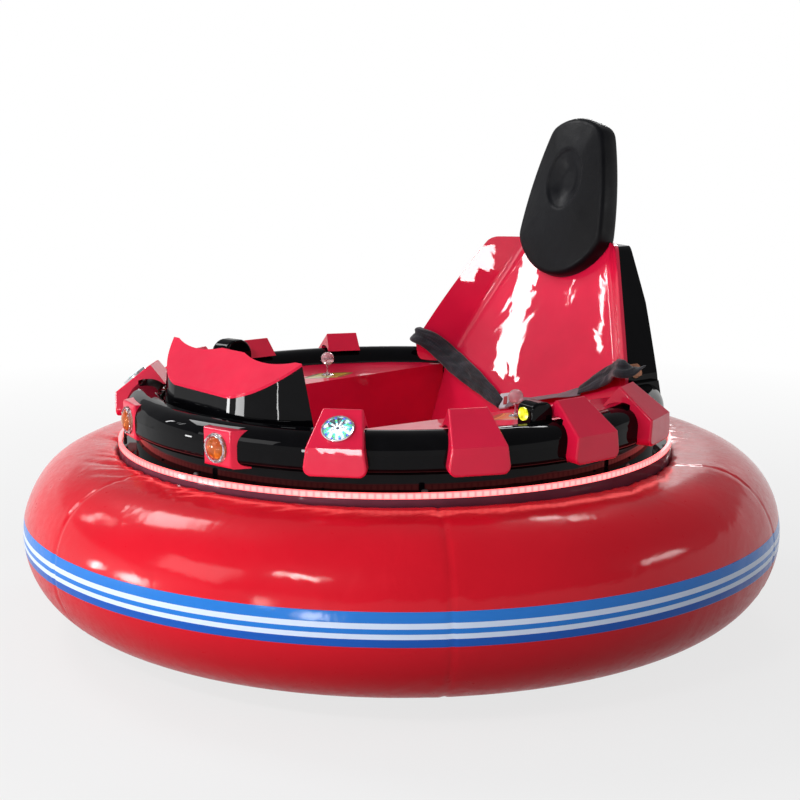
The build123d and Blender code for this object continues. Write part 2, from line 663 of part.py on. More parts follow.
def back_silhouette(grow):
    """Front view of the backrest: rounded top corners, wings that curve in at the foot."""
    top, bottom = BACK_TOP + grow, BACK_BOTTOM
    top_half = BACK_TOP_HALF + grow
    mid_half = BACK_MID_HALF + grow
    wing = BACK_WING_HALF + grow
    foot = console_x(back_y(CONSOLE_TOP)) - SEAT_GAP
    low_z = CONSOLE_TOP + SEAT_GAP
    right = (ThreePointArc((top_half, top), (mid_half, BACK_MID_Z), (wing, BACK_WING_Z))
             + Line((wing, BACK_WING_Z), (wing - 6, low_z))
             + Line((wing - 6, low_z), (foot, low_z))
             + Line((foot, low_z), (foot, bottom)))
    left = mirror(right, about=Plane.YZ)
    outline = (right + left + Line((-top_half, top), (top_half, top))
               + Line((-foot, bottom), (foot, bottom)))
    face = make_face(outline)
    face = fillet([v for v in face.vertices() if abs(v.Y - top) < 0.01], BACK_CORNER)
    return fillet([v for v in face.vertices()
                   if abs(v.Y - low_z) < 0.01 and abs(v.X) > foot + 1], WING_CORNER)


def back_prism(grow):
    face = Plane(origin=(0, 0, 0), x_dir=(1, 0, 0), z_dir=(0, -1, 0)) * back_silhouette(grow)
    return extrude(face, 900, dir=(0, 1, 0))


def seat_back():
    panel = (BACK_PRISM & seat_space(BACK_T)) - seat_space(0)
    return panel - RING_KEEP_OUT


def shell_block(inset):
    """Everything ahead of the shell's rear face."""
    sections = []
    for z, half, corner_out, mid_out in SHELL_ROWS:
        wide = half - inset
        level = z - (inset if z == SHELL_TOP else 0) - (20 if inset and z == SHELL_BOTTOM else 0)
        corner_y = BODY_Y + RING_R + corner_out - inset
        mid_y = BODY_Y + RING_R + mid_out - inset
        lines = (Line((-wide, 200), (-wide, corner_y))
                 + ThreePointArc((-wide, corner_y), (0, mid_y), (wide, corner_y))
                 + Line((wide, corner_y), (wide, 200))
                 + Line((wide, 200), (-wide, 200)))
        sections.append(Pos(0, 0, level) * make_face(lines))
    return loft(sections, ruled=True)


def seat_shell():
    shell = shell_block(0) & back_prism(0)
    skirt = shell_block(0) & slab(-600, 600, 200, 800, SHELL_BOTTOM, SHELL_SKIRT)
    outside = skirt - disc(CAVITY_R, SHELL_BOTTOM - 1, SHELL_SKIRT + 1, 0, BODY_Y)
    shell = shell + outside
    shell -= seat_space(BACK_T + SEAT_GAP)
    cavity = shell_block(SHELL_WALL) & back_prism(-SHELL_WALL)
    cavity -= seat_space(BACK_T + SEAT_GAP + SHELL_WALL)
    shell -= cavity
    shell -= disc(RING_R, SHELL_BOTTOM - 1, RING_TOP, 0, BODY_Y)
    shell -= RING_KEEP_OUT
    shell -= Pos(0, shell_rear_y(SOCKET_Z), SOCKET_Z) * Rot(90, 0, 0) * Cylinder(
        SOCKET_R + SEAT_GAP, 4 * SOCKET_R)
    return shell


def headrest():
    tilt = math.radians(HEAD_TILT)
    face = Plane(origin=(0, HEAD_Y, HEAD_Z), x_dir=(1, 0, 0),
                 z_dir=(0, -math.cos(tilt), math.sin(tilt)))

    def up(z):
        return (z - HEAD_Z) / math.cos(tilt)

    side = ThreePointArc((HEAD_LOW_HALF, 0), (HEAD_MID_HALF, up(HEAD_MID_Z)),
                         (HEAD_HIGH_HALF, up(HEAD_HIGH_Z)))
    lines = (side + mirror(side, about=Plane.YZ)
             + ThreePointArc((-HEAD_LOW_HALF, 0), (0, up(HEAD_BOTTOM)), (HEAD_LOW_HALF, 0))
             + ThreePointArc((-HEAD_HIGH_HALF, up(HEAD_HIGH_Z)), (0, up(HEAD_TOP)),
                             (HEAD_HIGH_HALF, up(HEAD_HIGH_Z))))
    plan = make_face(lines)
    plan = fillet([v for v in plan.vertices() if v.Y > 1], HEAD_CORNER)
    return extrude(face * plan, -HEAD_T) - back_keep_out()


def back_keep_out():
    """Backrest and shell, grown so that the headrest seats on them without touching."""
    block = back_prism(SEAT_GAP) - seat_space(-SEAT_GAP)
    return block & slab(-500, 500, 200, 900, 300, BACK_TOP + SEAT_GAP)


# ---------------------------------------------------------------- belt
def edge_point(z):
    """Half width of the backrest at a height, and how far its edge leans there, in degrees."""
    arc = ThreePointArc((BACK_TOP_HALF, BACK_TOP), (BACK_MID_HALF, BACK_MID_Z),
                        (BACK_WING_HALF, BACK_WING_Z))
    middle = arc.arc_center
    side = math.copysign(1.0, BACK_MID_HALF - middle.X)
    across = math.sqrt(arc.radius ** 2 - (z - middle.Y) ** 2)
    lean = math.degrees(math.atan2(side * (z - middle.Y), across))
    return middle.X + side * across, lean


def wing_y(x, z):
    """Face of a wing at a point."""
    return back_y(z) - BACK_WING_SLOPE * (x - back_flat_half(z))


def strap(start, end, width, thickness):
    """Straight flat strap between two points, its face turned to the rider."""
    a, b = Vector(*start), Vector(*end)
    along = (b - a).normalized()
    lean = Vector(0, -1, RECLINE).normalized()
    normal = (lean - along * lean.dot(along)).normalized()
    plane = Plane(origin=(a + b) * 0.5, x_dir=along, z_dir=normal)
    return plane * Box((b - a).length, width, thickness)


def belt_anchor():
    """Point on the front edge of the rider's left wing where the sleeve starts."""
    z = BELT_ANCHOR_Z - 12
    x = edge_point(z)[0] - 14
    return Vector(x, wing_y(x, z) - SLEEVE_T, z)


def on_panel(x, z, thickness):
    """Point above the backrest's flat panel, for a strap of some thickness lying on it."""
    lift = (thickness / 2 + SEAT_GAP) * math.sqrt(1 + RECLINE * RECLINE)
    return Vector(x, back_y(z) - lift, z)


def belt_sleeves():
    anchor = belt_anchor()
    left = strap(anchor, on_panel(BELT_END_X, BELT_END_Z, SLEEVE_T), SLEEVE_W, SLEEVE_T)
    right = strap(Vector(-anchor.X, anchor.Y, anchor.Z),
                  on_panel(-BELT_TIP_X, BELT_TIP_Z, SLEEVE_T), SLEEVE_W, SLEEVE_T)
    return Compound(children=[left, right])


def panel_strap(start, end, width, thickness):
    """Strap on the flat panel, along the line between the sleeves' inner ends."""
    tip = on_panel(-BELT_TIP_X, BELT_TIP_Z, thickness)
    line = on_panel(BELT_END_X, BELT_END_Z, thickness) - tip
    along = line.normalized()
    return strap(tip + along * start, tip + line + along * end if end < 0 else tip + along * end,
                 width, thickness)


def belt_buckle():
    return panel_strap(BUCKLE_START, BUCKLE_START + BUCKLE_L, WEBBING_W + 6, BUCKLE_T)


def belt_webbing():
    return panel_strap(BUCKLE_START + BUCKLE_L + SEAT_GAP, -WEBBING_END, WEBBING_W, WEBBING_T)


def belt_bracket():
    """Anchor plate on the outside of the rider's left wing."""
    x, lean = edge_point(BELT_ANCHOR_Z)
    y = wing_y(x, BELT_ANCHOR_Z) + 34
    plate = RectangleRounded(46, 34, 12) - Pos(-8, 0) * Circle(8)
    body = Pos(0, 0, SEAT_GAP) * extrude(plate, BRACKET_T)
    return Pos(x, y, BELT_ANCHOR_Z) * Rot(0, 90 - lean, 0) * Rot(0, 0, 90) * body


# ---------------------------------------------------------------- controls
def joystick():
    collar = disc(COLLAR_R, CONSOLE_TOP, CONSOLE_TOP + COLLAR_H, STICK_X, STICK_Y)
    shaft = disc(STICK_R, CONSOLE_TOP, KNOB_Z - KNOB_R * KNOB_FLAT, STICK_X, STICK_Y)
    cup = disc(STICK_R + CUP_EDGE, KNOB_Z - KNOB_R - CUP_EDGE, KNOB_Z - KNOB_R * KNOB_FLAT,
               STICK_X, STICK_Y)
    return collar + shaft + cup


def joystick_knob():
    ball = Pos(STICK_X, STICK_Y, KNOB_Z) * Sphere(KNOB_R)
    return split(ball, bisect_by=Plane.XY.offset(KNOB_Z - KNOB_R * KNOB_FLAT), keep=Keep.TOP)


# ---------------------------------------------------------------- frame and drive
def hollow_bar_y(x, y0, y1):
    """Square tube along Y."""
    outer = slab(x - BAR / 2, x + BAR / 2, y0, y1, FRAME_BOTTOM, FRAME_BOTTOM + BAR)
    w = BAR_WALL
    return outer - slab(x - BAR / 2 + w, x + BAR / 2 - w, y0 - 1, y1 + 1,
                        FRAME_BOTTOM + w, FRAME_BOTTOM + BAR - w)


def hollow_bar_x(y, x0, x1):
    """Square tube along X."""
    outer = slab(x0, x1, y - BAR / 2, y + BAR / 2, FRAME_BOTTOM, FRAME_BOTTOM + BAR)
    w = BAR_WALL
    return outer - slab(x0 - 1, x1 + 1, y - BAR / 2 + w, y + BAR / 2 - w,
                        FRAME_BOTTOM + w, FRAME_BOTTOM + BAR - w)


def frame_rails():
    """Two rails that reach to just inside the skirt and stand on its lip."""
    corner = RAIL_X + BAR / 2
    reach = math.sqrt((SKIRT_IN_R - CUT) ** 2 - corner ** 2)
    rails = [hollow_bar_y(x, BODY_Y - reach, BODY_Y + reach) for x in (-RAIL_X, RAIL_X)]
    return Compound(children=rails)


def frame_crossbars():
    """Bars between the rails, and outriggers from the rails to the motor plates and the lip."""
    inner = RAIL_X - BAR / 2
    outer = RAIL_X + BAR / 2
    bars = [hollow_bar_x(y, -inner, inner) for y in (-PAD_Y, *CROSS_Y, PAD_Y)]
    for y in CROSS_Y:
        bars.append(hollow_bar_x(y, outer, MOTOR_PLATE_X))
        bars.append(hollow_bar_x(y, -MOTOR_PLATE_X, -outer))
    return Compound(children=bars)


def drive_unit():
    """Rider's left gear motor with its plate and wheel shaft."""
    axle_z = WHEEL_R
    plate_out = MOTOR_PLATE_X + MOTOR_PLATE_T
    plate = slab(MOTOR_PLATE_X, plate_out, CROSS_Y[0] - BAR / 2, CROSS_Y[1] + BAR / 2,
                 axle_z - MOTOR_R - MOTOR_PLATE_DROP, FRAME_BOTTOM + BAR)
    motor = x_rod(MOTOR_R, RAIL_X + BAR / 2 + MOTOR_CLEAR, MOTOR_PLATE_X, 0, axle_z)
    gearbox = slab(MOTOR_PLATE_X - GEARBOX_LENGTH, MOTOR_PLATE_X, -GEARBOX_HALF, GEARBOX_HALF,
                   axle_z - MOTOR_R, axle_z + MOTOR_R)
    boss = x_rod(MOTOR_BOSS_R, plate_out, plate_out + MOTOR_BOSS_T, 0, axle_z)
    shaft_end = WHEEL_X + WHEEL_W / 2 - HUB_BOSS_SET + SHAFT_TAIL
    shaft = x_rod(SHAFT_R, plate_out, shaft_end, 0, axle_z)
    nut = x_rod(NUT_R, shaft_end - NUT_T, shaft_end, 0, axle_z)
    return plate + motor + gearbox + boss + shaft + nut


def drive_tyre():
    """Rider's left tyre, about its axle along X."""
    bead_r = HUB_R + SEAT_GAP
    section = RectangleRounded(WHEEL_W, WHEEL_R - bead_r, TYRE_ROUND)
    tyre = revolve(Plane.XZ * (Pos(0, (WHEEL_R + bead_r) / 2) * section), Axis.X, 360)
    return Pos(WHEEL_X, 0, WHEEL_R) * tyre


def drive_hub():
    """Rider's left hub: rim, web with a ring of holes, and boss with a bore for the shaft."""
    side = WHEEL_W / 2
    edge = side - HUB_SETBACK
    boss_in, boss_out = -side - HUB_BOSS_IN, side - HUB_BOSS_SET
    rim = x_rod(HUB_R, -edge, edge, 0, 0) - x_rod(HUB_R - HUB_RIM, -edge - CUT, edge + CUT, 0, 0)
    web = x_rod(HUB_R - HUB_RIM + CUT, -HUB_WEB / 2, HUB_WEB / 2, 0, 0)
    boss = x_rod(HUB_BOSS_R, boss_in, boss_out, 0, 0)
    hub = rim + web + boss - x_rod(SHAFT_R + FIT, boss_in - CUT, boss_out + CUT, 0, 0)
    for number in range(HUB_HOLES):
        turn = 2 * math.pi * number / HUB_HOLES
        hub -= x_rod(HUB_HOLE_R, -HUB_WEB, HUB_WEB, HUB_HOLE_PITCH_R * math.cos(turn),
                     HUB_HOLE_PITCH_R * math.sin(turn))
    return Pos(WHEEL_X, 0, WHEEL_R) * hub


# ---------------------------------------------------------------- casters
def caster_plate(y):
    """Top plate, ball race and kingpin, fixed under the frame."""
    top = FRAME_BOTTOM
    plate = slab(-CASTER_PLATE / 2, CASTER_PLATE / 2, y - CASTER_PLATE / 2, y + CASTER_PLATE / 2,
                 top - CASTER_PLATE_T, top)
    race_bottom = top - CASTER_PLATE_T - RACE_T
    crown_bottom = race_bottom - RACE_GAP - CROWN_T
    race = disc(RACE_R, race_bottom, top - CASTER_PLATE_T, 0, y)
    tail = crown_bottom - KINGPIN_TAIL
    pin = disc(KINGPIN_R, tail, race_bottom, 0, y)
    nut = disc(KINGPIN_R + HEAD_PROUD, tail, crown_bottom - RACE_GAP, 0, y)
    return plate + race + pin + nut


def caster_fork(y):
    """Crown, two legs and the axle, trailing towards the rear."""
    race_bottom = FRAME_BOTTOM - CASTER_PLATE_T - RACE_T
    crown_top = race_bottom - RACE_GAP
    crown_bottom = crown_top - CROWN_T
    crown = disc(CROWN_R, crown_bottom, crown_top, 0, y)
    leg_in = CASTER_W / 2 + FORK_GAP
    hub_y = y + CASTER_TRAIL
    lower = make_face(Plane.YZ * Polyline(
        (y - FORK_FRONT, crown_bottom + CROWN_T / 2), (y + FORK_REAR, crown_bottom + CROWN_T / 2),
        (hub_y + FORK_FOOT, CASTER_R), (hub_y, CASTER_R - FORK_FOOT),
        (hub_y - FORK_FOOT, CASTER_R), close=True))
    legs = (Pos(leg_in, 0, 0) * extrude(lower, FORK_T, dir=(1, 0, 0))
            + Pos(-leg_in - FORK_T, 0, 0) * extrude(lower, FORK_T, dir=(1, 0, 0)))
    reach = leg_in + FORK_T + HEAD_PROUD
    axle = x_rod(CASTER_AXLE_R, -reach, reach, hub_y, CASTER_R)
    heads = (x_rod(CASTER_AXLE_R + HEAD_PROUD, leg_in + FORK_T, reach, hub_y, CASTER_R)
             + x_rod(CASTER_AXLE_R + HEAD_PROUD, -reach, -leg_in - FORK_T, hub_y, CASTER_R))
    bore = disc(KINGPIN_R + FIT, crown_bottom - CUT, crown_top + CUT, 0, y)
    return crown + legs + axle + heads - bore


def caster_wheel(y):
    hub_y = y + CASTER_TRAIL
    half = CASTER_W / 2
    tread = x_rod(CASTER_R, -half, half, hub_y, CASTER_R)
    tread = fillet(tread.edges().filter_by(GeomType.CIRCLE), CASTER_ROUND)
    reach = half + FORK_GAP / 2
    boss = x_rod(CASTER_HUB_R, -reach, reach, hub_y, CASTER_R)
    wheel = tread - x_rod(CASTER_DISH_R, half - CASTER_DISH, half + CUT, hub_y, CASTER_R)
    wheel -= x_rod(CASTER_DISH_R, -half - CUT, -half + CASTER_DISH, hub_y, CASTER_R)
    return wheel + boss - x_rod(CASTER_AXLE_R + FIT, -reach - CUT, reach + CUT, hub_y, CASTER_R)


# ---------------------------------------------------------------- battery and sockets
def battery():
    half = BATTERY_WIDTH / 2
    return slab(-half, half, BATTERY_FRONT, BATTERY_REAR, FOOTWELL_FLOOR, BATTERY_TOP)


def shell_rear_y(z):
    """Rear face of the shell on the centreline."""
    low, high = [rows for rows in zip(SHELL_ROWS, SHELL_ROWS[1:]) if rows[0][0] <= z <= rows[1][0]][0]
    share = (z - low[0]) / (high[0] - low[0])
    return BODY_Y + RING_R + low[3] + share * (high[3] - low[3])


def charge_socket():
    """Round socket, its flange against the shell and its bore facing the rear."""
    back = shell_rear_y(SOCKET_Z - SOCKET_FLANGE_R) + SEAT_GAP
    face = back + SOCKET_FLANGE_T

    def round_y(radius, y0, y1):
        return Pos(0, (y0 + y1) / 2, SOCKET_Z) * Rot(90, 0, 0) * Cylinder(radius, y1 - y0)

    body = round_y(SOCKET_FLANGE_R, back, face) + round_y(SOCKET_R, back - SOCKET_BARREL, face)
    return body - round_y(SOCKET_BORE_R, face - SOCKET_DEPTH, face)


# ---------------------------------------------------------------- build
os.makedirs("parts", exist_ok=True)
BACK_PRISM = back_prism(0)
LUG_SHAPE = lug()

save(bumper_tube(), "bumper_tube")
save(tube_valve(), "tube_valve")
save(rim_flange(), "rim_flange")
save(led_strip(), "led_strip")
save(lower_tub(), "lower_tub")
save(coaming_ring(), "coaming_ring")
save(side_lugs(LEFT_LUG_ANGLES), "left_lugs")
save(side_lugs(RIGHT_LUG_ANGLES), "right_lugs")
light = on_body(around(lug_light(), LEFT_LUG_ANGLES[0]))
save(Compound(children=[light, mirrored(light)]), "lug_lights")

pod = headlamp_pod()
save(pod, "left_headlamp")
save(mirrored(pod), "right_headlamp")
lens = headlamp_lens()
save(Compound(children=[lens, mirrored(lens)]), "headlamp_lenses")

left_lamp = side_lamp(LEFT_LAMP_LENGTH, LEFT_LAMP_RISE, LEFT_LAMP_ARCH)
right_lamp = side_lamp(RIGHT_LAMP_LENGTH, RIGHT_LAMP_RISE, RIGHT_LAMP_ARCH)
save(on_body(around(left_lamp, LEFT_LAMP_ANGLE)), "left_side_lamp")
save(on_body(around(right_lamp, RIGHT_LAMP_ANGLE)), "right_side_lamp")
left_lens = on_body(around(side_lens(LEFT_LAMP_LENGTH), LEFT_LAMP_ANGLE))
right_lens = mirrored(on_body(around(side_lens(RIGHT_LAMP_LENGTH), -RIGHT_LAMP_ANGLE)))
save(Compound(children=[left_lens, right_lens]), "side_lamp_lenses")

save(hood_base(), "hood_base")
save(hood_top(), "hood_top")

BACK = seat_back()
SHELL = seat_shell()
save(BACK, "seat_back")
save(SHELL, "seat_shell")
save(headrest(), "headrest")
BACK_ROOM = BACK_PRISM - seat_space(-SEAT_GAP)
left_console = console() - BACK_ROOM - hood_block(-SEAT_GAP, 0, HOOD_BOTTOM - 40) - SHELL
save(left_console, "left_console")
save(mirrored(left_console), "right_console")
save(cockpit_floor(), "cockpit_floor")
save(seat_pan(), "seat_pan")

save(belt_sleeves(), "belt_sleeves")
save(belt_webbing(), "belt_webbing")
save(belt_buckle(), "belt_buckle")
bracket = belt_bracket()
save(Compound(children=[bracket, mirrored(bracket)]), "belt_brackets")

stick = joystick()
save(stick, "left_joystick")
save(mirrored(stick), "right_joystick")
knob = joystick_knob()
save(Compound(children=[knob, mirrored(knob)]), "joystick_knobs")

save(frame_rails(), "frame_rails")
save(frame_crossbars(), "frame_crossbars")
unit = drive_unit()
save(unit, "left_drive_unit")
save(mirrored(unit), "right_drive_unit")
tyre = drive_tyre()
save(tyre, "left_drive_tyre")
save(mirrored(tyre), "right_drive_tyre")
hub = drive_hub()
save(hub, "left_drive_hub")
save(mirrored(hub), "right_drive_hub")
for name, place in (("front", -PAD_Y), ("rear", PAD_Y)):
    save(caster_plate(place), f"{name}_caster_plate")
    save(caster_fork(place), f"{name}_caster_fork")
    save(caster_wheel(place), f"{name}_caster_wheel")
save(battery(), "battery")
save(charge_socket(), "charge_socket")
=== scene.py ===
"""Looks of an inflatable bumper car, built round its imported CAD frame, in metres.

The front of the car is -Y, the rider's left is +X and the floor is z = 0.
"""
import math
from bisect import bisect_left
from itertools import accumulate

import bpy
from mathutils import Matrix, Vector, geometry, noise


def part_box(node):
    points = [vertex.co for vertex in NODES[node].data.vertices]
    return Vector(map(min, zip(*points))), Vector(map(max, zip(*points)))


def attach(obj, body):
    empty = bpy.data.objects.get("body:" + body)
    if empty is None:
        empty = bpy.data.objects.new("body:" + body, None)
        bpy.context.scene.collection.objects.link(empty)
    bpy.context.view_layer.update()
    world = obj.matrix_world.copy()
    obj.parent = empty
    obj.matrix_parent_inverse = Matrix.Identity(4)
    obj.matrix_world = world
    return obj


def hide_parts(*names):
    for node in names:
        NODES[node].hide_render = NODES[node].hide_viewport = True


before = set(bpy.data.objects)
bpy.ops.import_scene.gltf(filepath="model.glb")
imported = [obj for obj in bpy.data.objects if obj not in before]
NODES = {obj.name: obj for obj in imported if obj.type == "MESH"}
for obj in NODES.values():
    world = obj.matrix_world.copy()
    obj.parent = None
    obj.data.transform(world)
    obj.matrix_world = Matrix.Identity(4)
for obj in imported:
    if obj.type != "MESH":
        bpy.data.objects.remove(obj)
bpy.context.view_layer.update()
ROOT = "car_body"
MM = 0.001
TAU = 2 * math.pi
UP = Vector((0, 0, 1))


def mm(*values):
    """Lengths given in millimetres, in metres."""
    return tuple(v * MM for v in values)


def turns(count, first=0.0):
    """Evenly spaced angles round a full turn."""
    return [first + TAU * k / count for k in range(count)]


def quarter(count):
    """Evenly spaced angles from zero to a right angle, both included."""
    return [math.pi / 2 * k / count for k in range(count + 1)]


def polar(radius, turn, z=0.0):
    return (radius * math.cos(turn), radius * math.sin(turn), z)


# ---- sizes, from the frame
def middle_of(node):
    low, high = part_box(node)
    return (low + high) / 2


TUBE_LOW, TUBE_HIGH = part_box("bumper_tube")
TUBE_R = TUBE_HIGH.x
TUBE_Z = middle_of("bumper_tube").z
TUBE_HALF_H = (TUBE_HIGH.z - TUBE_LOW.z) / 2
TUBE_HALF_W = 178 * MM
TUBE_MID_R = TUBE_R - TUBE_HALF_W
LED_MIDDLE = middle_of("led_strip")
BODY_Y = LED_MIDDLE.y
FLANGE_TOP, FLANGE_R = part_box("led_strip")[0].z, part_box("led_strip")[1].x
RING_OUT_R, _, RING_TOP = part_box("coaming_ring")[1]
RING_R = RING_OUT_R - 50 * MM  # to the middle of its tube
CONSOLE_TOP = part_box("left_console")[1].z
STICK_X, STICK_Y, _ = middle_of("left_joystick")

# ---- sizes of what is painted on
STRIPE_LOW, STRIPE_HIGH = mm(218, 292)
SHADED_DULL_LOW, SHADED_DULL_HIGH = mm(150, 300)  # below this the skin's colour is painted darker as shade, and its coat is thinner
LED_COUNT = 268


# ---- shaders
def srgb(*channels):
    """A colour given as it is seen, 0 to 255 a channel, in the linear values that shaders take."""
    def linear(value):
        value /= 255
        return value / 12.92 if value <= 0.04045 else ((value + 0.055) / 1.055) ** 2.4
    return (*map(linear, channels), 1.0)


def tint(color, share, lift=0.0):
    """A colour made darker or lighter by a share of itself, and lifted."""
    return tuple(min(1.0, c * share + lift) for c in color[:3]) + (1.0,)


class Surface:
    """One node-based material, with short calls for the nodes that it uses."""

    def __init__(self, name, **sockets):
        self.material = bpy.data.materials.new(name)
        self.material.use_nodes = True
        self.tree = self.material.node_tree
        self.shader = self.tree.nodes["Principled BSDF"]
        self.place = self.new("ShaderNodeTexCoord").outputs["Object"]
        self.set(**sockets)

    def new(self, kind, **settings):
        node = self.tree.nodes.new(kind)
        for key, value in settings.items():
            setattr(node, key, value)
        return node

    def wire(self, value, socket):
        """Link a socket, or set a plain value."""
        if isinstance(value, bpy.types.NodeSocket):
            self.tree.links.new(value, socket)
        else:
            socket.default_value = value

    def feed(self, sockets, *values):
        for socket, value in zip(sockets, values):
            self.wire(value, socket)

    def set(self, **sockets):
        for key, value in sockets.items():
            self.wire(value, self.shader.inputs[key.replace("_", " ")])
        return self

    def maths(self, operation, *values):
        node = self.new("ShaderNodeMath", operation=operation)
        self.feed(node.inputs, *values)
        return node.outputs[0]

    def away(self, x, y):
        """Distance from an upright axis."""
        return self.maths("SQRT", self.maths("ADD", self.maths("MULTIPLY", x, x),
                                             self.maths("MULTIPLY", y, y)))

    def texture(self, kind, output, place=None, settings=None, **inputs):
        node = self.new("ShaderNodeTex" + kind, **(settings or {}))
        self.wire(place or self.place, node.inputs["Vector"])
        for key, value in inputs.items():
            node.inputs[key].default_value = value
        return node.outputs[output]

    def noise(self, scale, detail=3.0, roughness=0.5, distortion=0.0):
        return self.texture("Noise", "Fac", Scale=scale, Detail=detail, Roughness=roughness,
                            Distortion=distortion)

    def cells(self, scale, feature="F1"):
        return self.texture("Voronoi", "Distance", settings={"feature": feature}, Scale=scale)

    def waves(self, scale, direction, place):
        return self.texture("Wave", "Fac", place, {"bands_direction": direction}, Scale=scale)

    def attribute(self, name):
        return self.new("ShaderNodeAttribute", attribute_name=name).outputs["Vector"]

    def split(self, vector):
        node = self.new("ShaderNodeSeparateXYZ")
        self.wire(vector, node.inputs[0])
        return node.outputs

    def ramp(self, value, *stops, steps=False):
        """Colours along a value; each stop is a position and a colour or a grey level."""
        node = self.new("ShaderNodeValToRGB")
        self.wire(value, node.inputs[0])
        ramp = node.color_ramp
        ramp.interpolation = "CONSTANT" if steps else "LINEAR"
        while len(ramp.elements) < len(stops):
            ramp.elements.new(0.5)
        for element, (position, color) in zip(ramp.elements, stops):
            element.position = position
            element.color = color if isinstance(color, tuple) else (color, color, color, 1)
        return node.outputs["Color"]

    def mix(self, share, first, second):
        node = self.new("ShaderNodeMix", data_type="RGBA")
        self.feed([node.inputs[k] for k in (0, 6, 7)], share, first, second)
        return node.outputs[2]

    def span(self, value, low, high, first=0.0, last=1.0):
        """From one number or colour to another, as a value goes from low to high."""
        if not isinstance(first, float):
            return self.mix(self.span(value, low, high), first, last)
        node = self.new("ShaderNodeMapRange")
        self.feed(node.inputs, value, low, high, first, last)
        return node.outputs[0]

    def bump(self, height, distance, under=None):
        """Relief of a depth in metres, on top of another relief."""
        node = self.new("ShaderNodeBump")
        self.wire(height, node.inputs["Height"])
        node.inputs["Distance"].default_value = distance
        if under is not None:
            self.wire(under, node.inputs["Normal"])
        return node.outputs[0]


def gel_coat(name, color, wave, roughness, coat):
    """Hand-laid glass fibre: gloss coat over colour, with faint waves, patches and dust."""
    made = Surface(name, Specular_IOR_Level=0.1, Coat_Weight=coat, Coat_Roughness=0.02,
                   Coat_IOR=1.4)
    dust = made.noise(30.0, 4.0, 0.6)
    waves = made.bump(made.noise(9.0, 2.0, 0.45, 0.7), wave)
    return made.set(
        Base_Color=made.span(made.noise(5.0, 4.0), 0.35, 0.65, tint(color, 0.86), color),
        Roughness=made.span(dust, 0.3, 0.75, roughness, roughness + 0.12),
        Normal=waves, Coat_Normal=waves).material


def black_gloss():
    """Deep black gloss: all of its shine is the coat's."""
    made = Surface("black_gel_coat", Specular_IOR_Level=0.0, Coat_Weight=0.55,
                   Coat_Roughness=0.02, Coat_IOR=1.3)
    worn, color = made.noise(14.0, 5.0, 0.6), srgb(5, 5, 7)
    waves = made.bump(made.noise(6.0, 2.0, 0.45, 0.6), 0.0018)
    return made.set(Base_Color=made.span(worn, 0.5, 0.8, color, tint(color, 1.6, 0.001)),
                    Roughness=made.span(worn, 0.3, 0.7, 0.35, 0.5),
                    Normal=waves, Coat_Normal=waves).material


def tube_skin():
    """Glossy coated fabric with a printed band of stripes round the tube's widest line."""
    made = Surface("tube_skin", Specular_IOR_Level=0.05, Coat_Roughness=0.06, Coat_IOR=1.37)
    x, y, z = made.split(made.place)
    red = made.span(made.noise(2.2, 4.0), 0.3, 0.7, srgb(200, 12, 32), srgb(216, 17, 38))
    # painted shade: the red is darker towards the bottom of the tube
    red = made.span(z, SHADED_DULL_LOW, SHADED_DULL_HIGH, srgb(182, 11, 28), red)
    height = made.span(z, STRIPE_LOW, STRIPE_HIGH)
    # painted shade: the lowest stripe's blue is darker than the blue above it
    blue, shaded_blue, white = srgb(34, 118, 206), srgb(22, 84, 176), srgb(208, 222, 244)
    stripes = made.ramp(height, (0.0, shaded_blue), (0.235, white), (0.385, blue),
                        (0.53, white), (0.69, blue), (0.99, blue), steps=True)
    inside = made.maths("MULTIPLY", made.maths("GREATER_THAN", made.away(x, y), TUBE_MID_R),
                        made.maths("MULTIPLY", made.maths("GREATER_THAN", z, STRIPE_LOW),
                                   made.maths("LESS_THAN", z, STRIPE_HIGH)))
    edges = made.ramp(height, (0.0, 0.0), (0.02, 1.0), (0.235, 1.0), (0.25, 0.7), (0.385, 0.7),
                      (0.4, 1.0), (0.53, 1.0), (0.545, 0.7), (0.69, 0.7), (0.705, 1.0),
                      (0.98, 1.0), (1.0, 0.0))
    weave = made.bump(made.noise(900.0, 1.0), 0.00005)
    relief = made.bump(made.maths("MULTIPLY", edges, inside), 0.0007, under=weave)
    sag = made.bump(made.noise(7.0, 3.0, 0.5, 0.8), 0.0026, under=relief)
    return made.set(
        Base_Color=made.mix(inside, red, stripes),
        Roughness=made.span(made.noise(60.0, 5.0, 0.65), 0.3, 0.7, 0.26, 0.44),
        Coat_Weight=made.span(z, SHADED_DULL_LOW, SHADED_DULL_HIGH, 0.12, 0.58),
        Normal=sag, Coat_Normal=sag).material


def moulded(name, color, roughness, grain=600.0, depth=0.0001, coat=0.0):
    """Moulded plastic, rubber or foam with a fine grain and worn, lighter patches."""
    made = Surface(name, Coat_Weight=coat, Coat_Roughness=0.12)
    worn = made.noise(18.0, 5.0, 0.6)
    return made.set(
        Base_Color=made.span(worn, 0.45, 0.8, color, tint(color, 1.5, 0.004)),
        Roughness=made.span(made.noise(90.0), 0.3, 0.7, roughness - 0.07, roughness + 0.07),
        Normal=made.bump(made.cells(grain), depth)).material


def metal(name, color, roughness, depth=0.00004, dark=0.55):
    """Bare or plated metal with a fine grain and a little grime."""
    made = Surface(name, Metallic=1.0)
    grime, grain = made.noise(35.0, 5.0, 0.6), made.noise(500.0, 2.0)
    return made.set(
        Base_Color=made.span(grime, 0.42, 0.75, color, tint(color, dark)),
        Roughness=made.span(grain, 0.3, 0.7, roughness - 0.06, roughness + 0.1),
        Normal=made.bump(grain, depth)).material


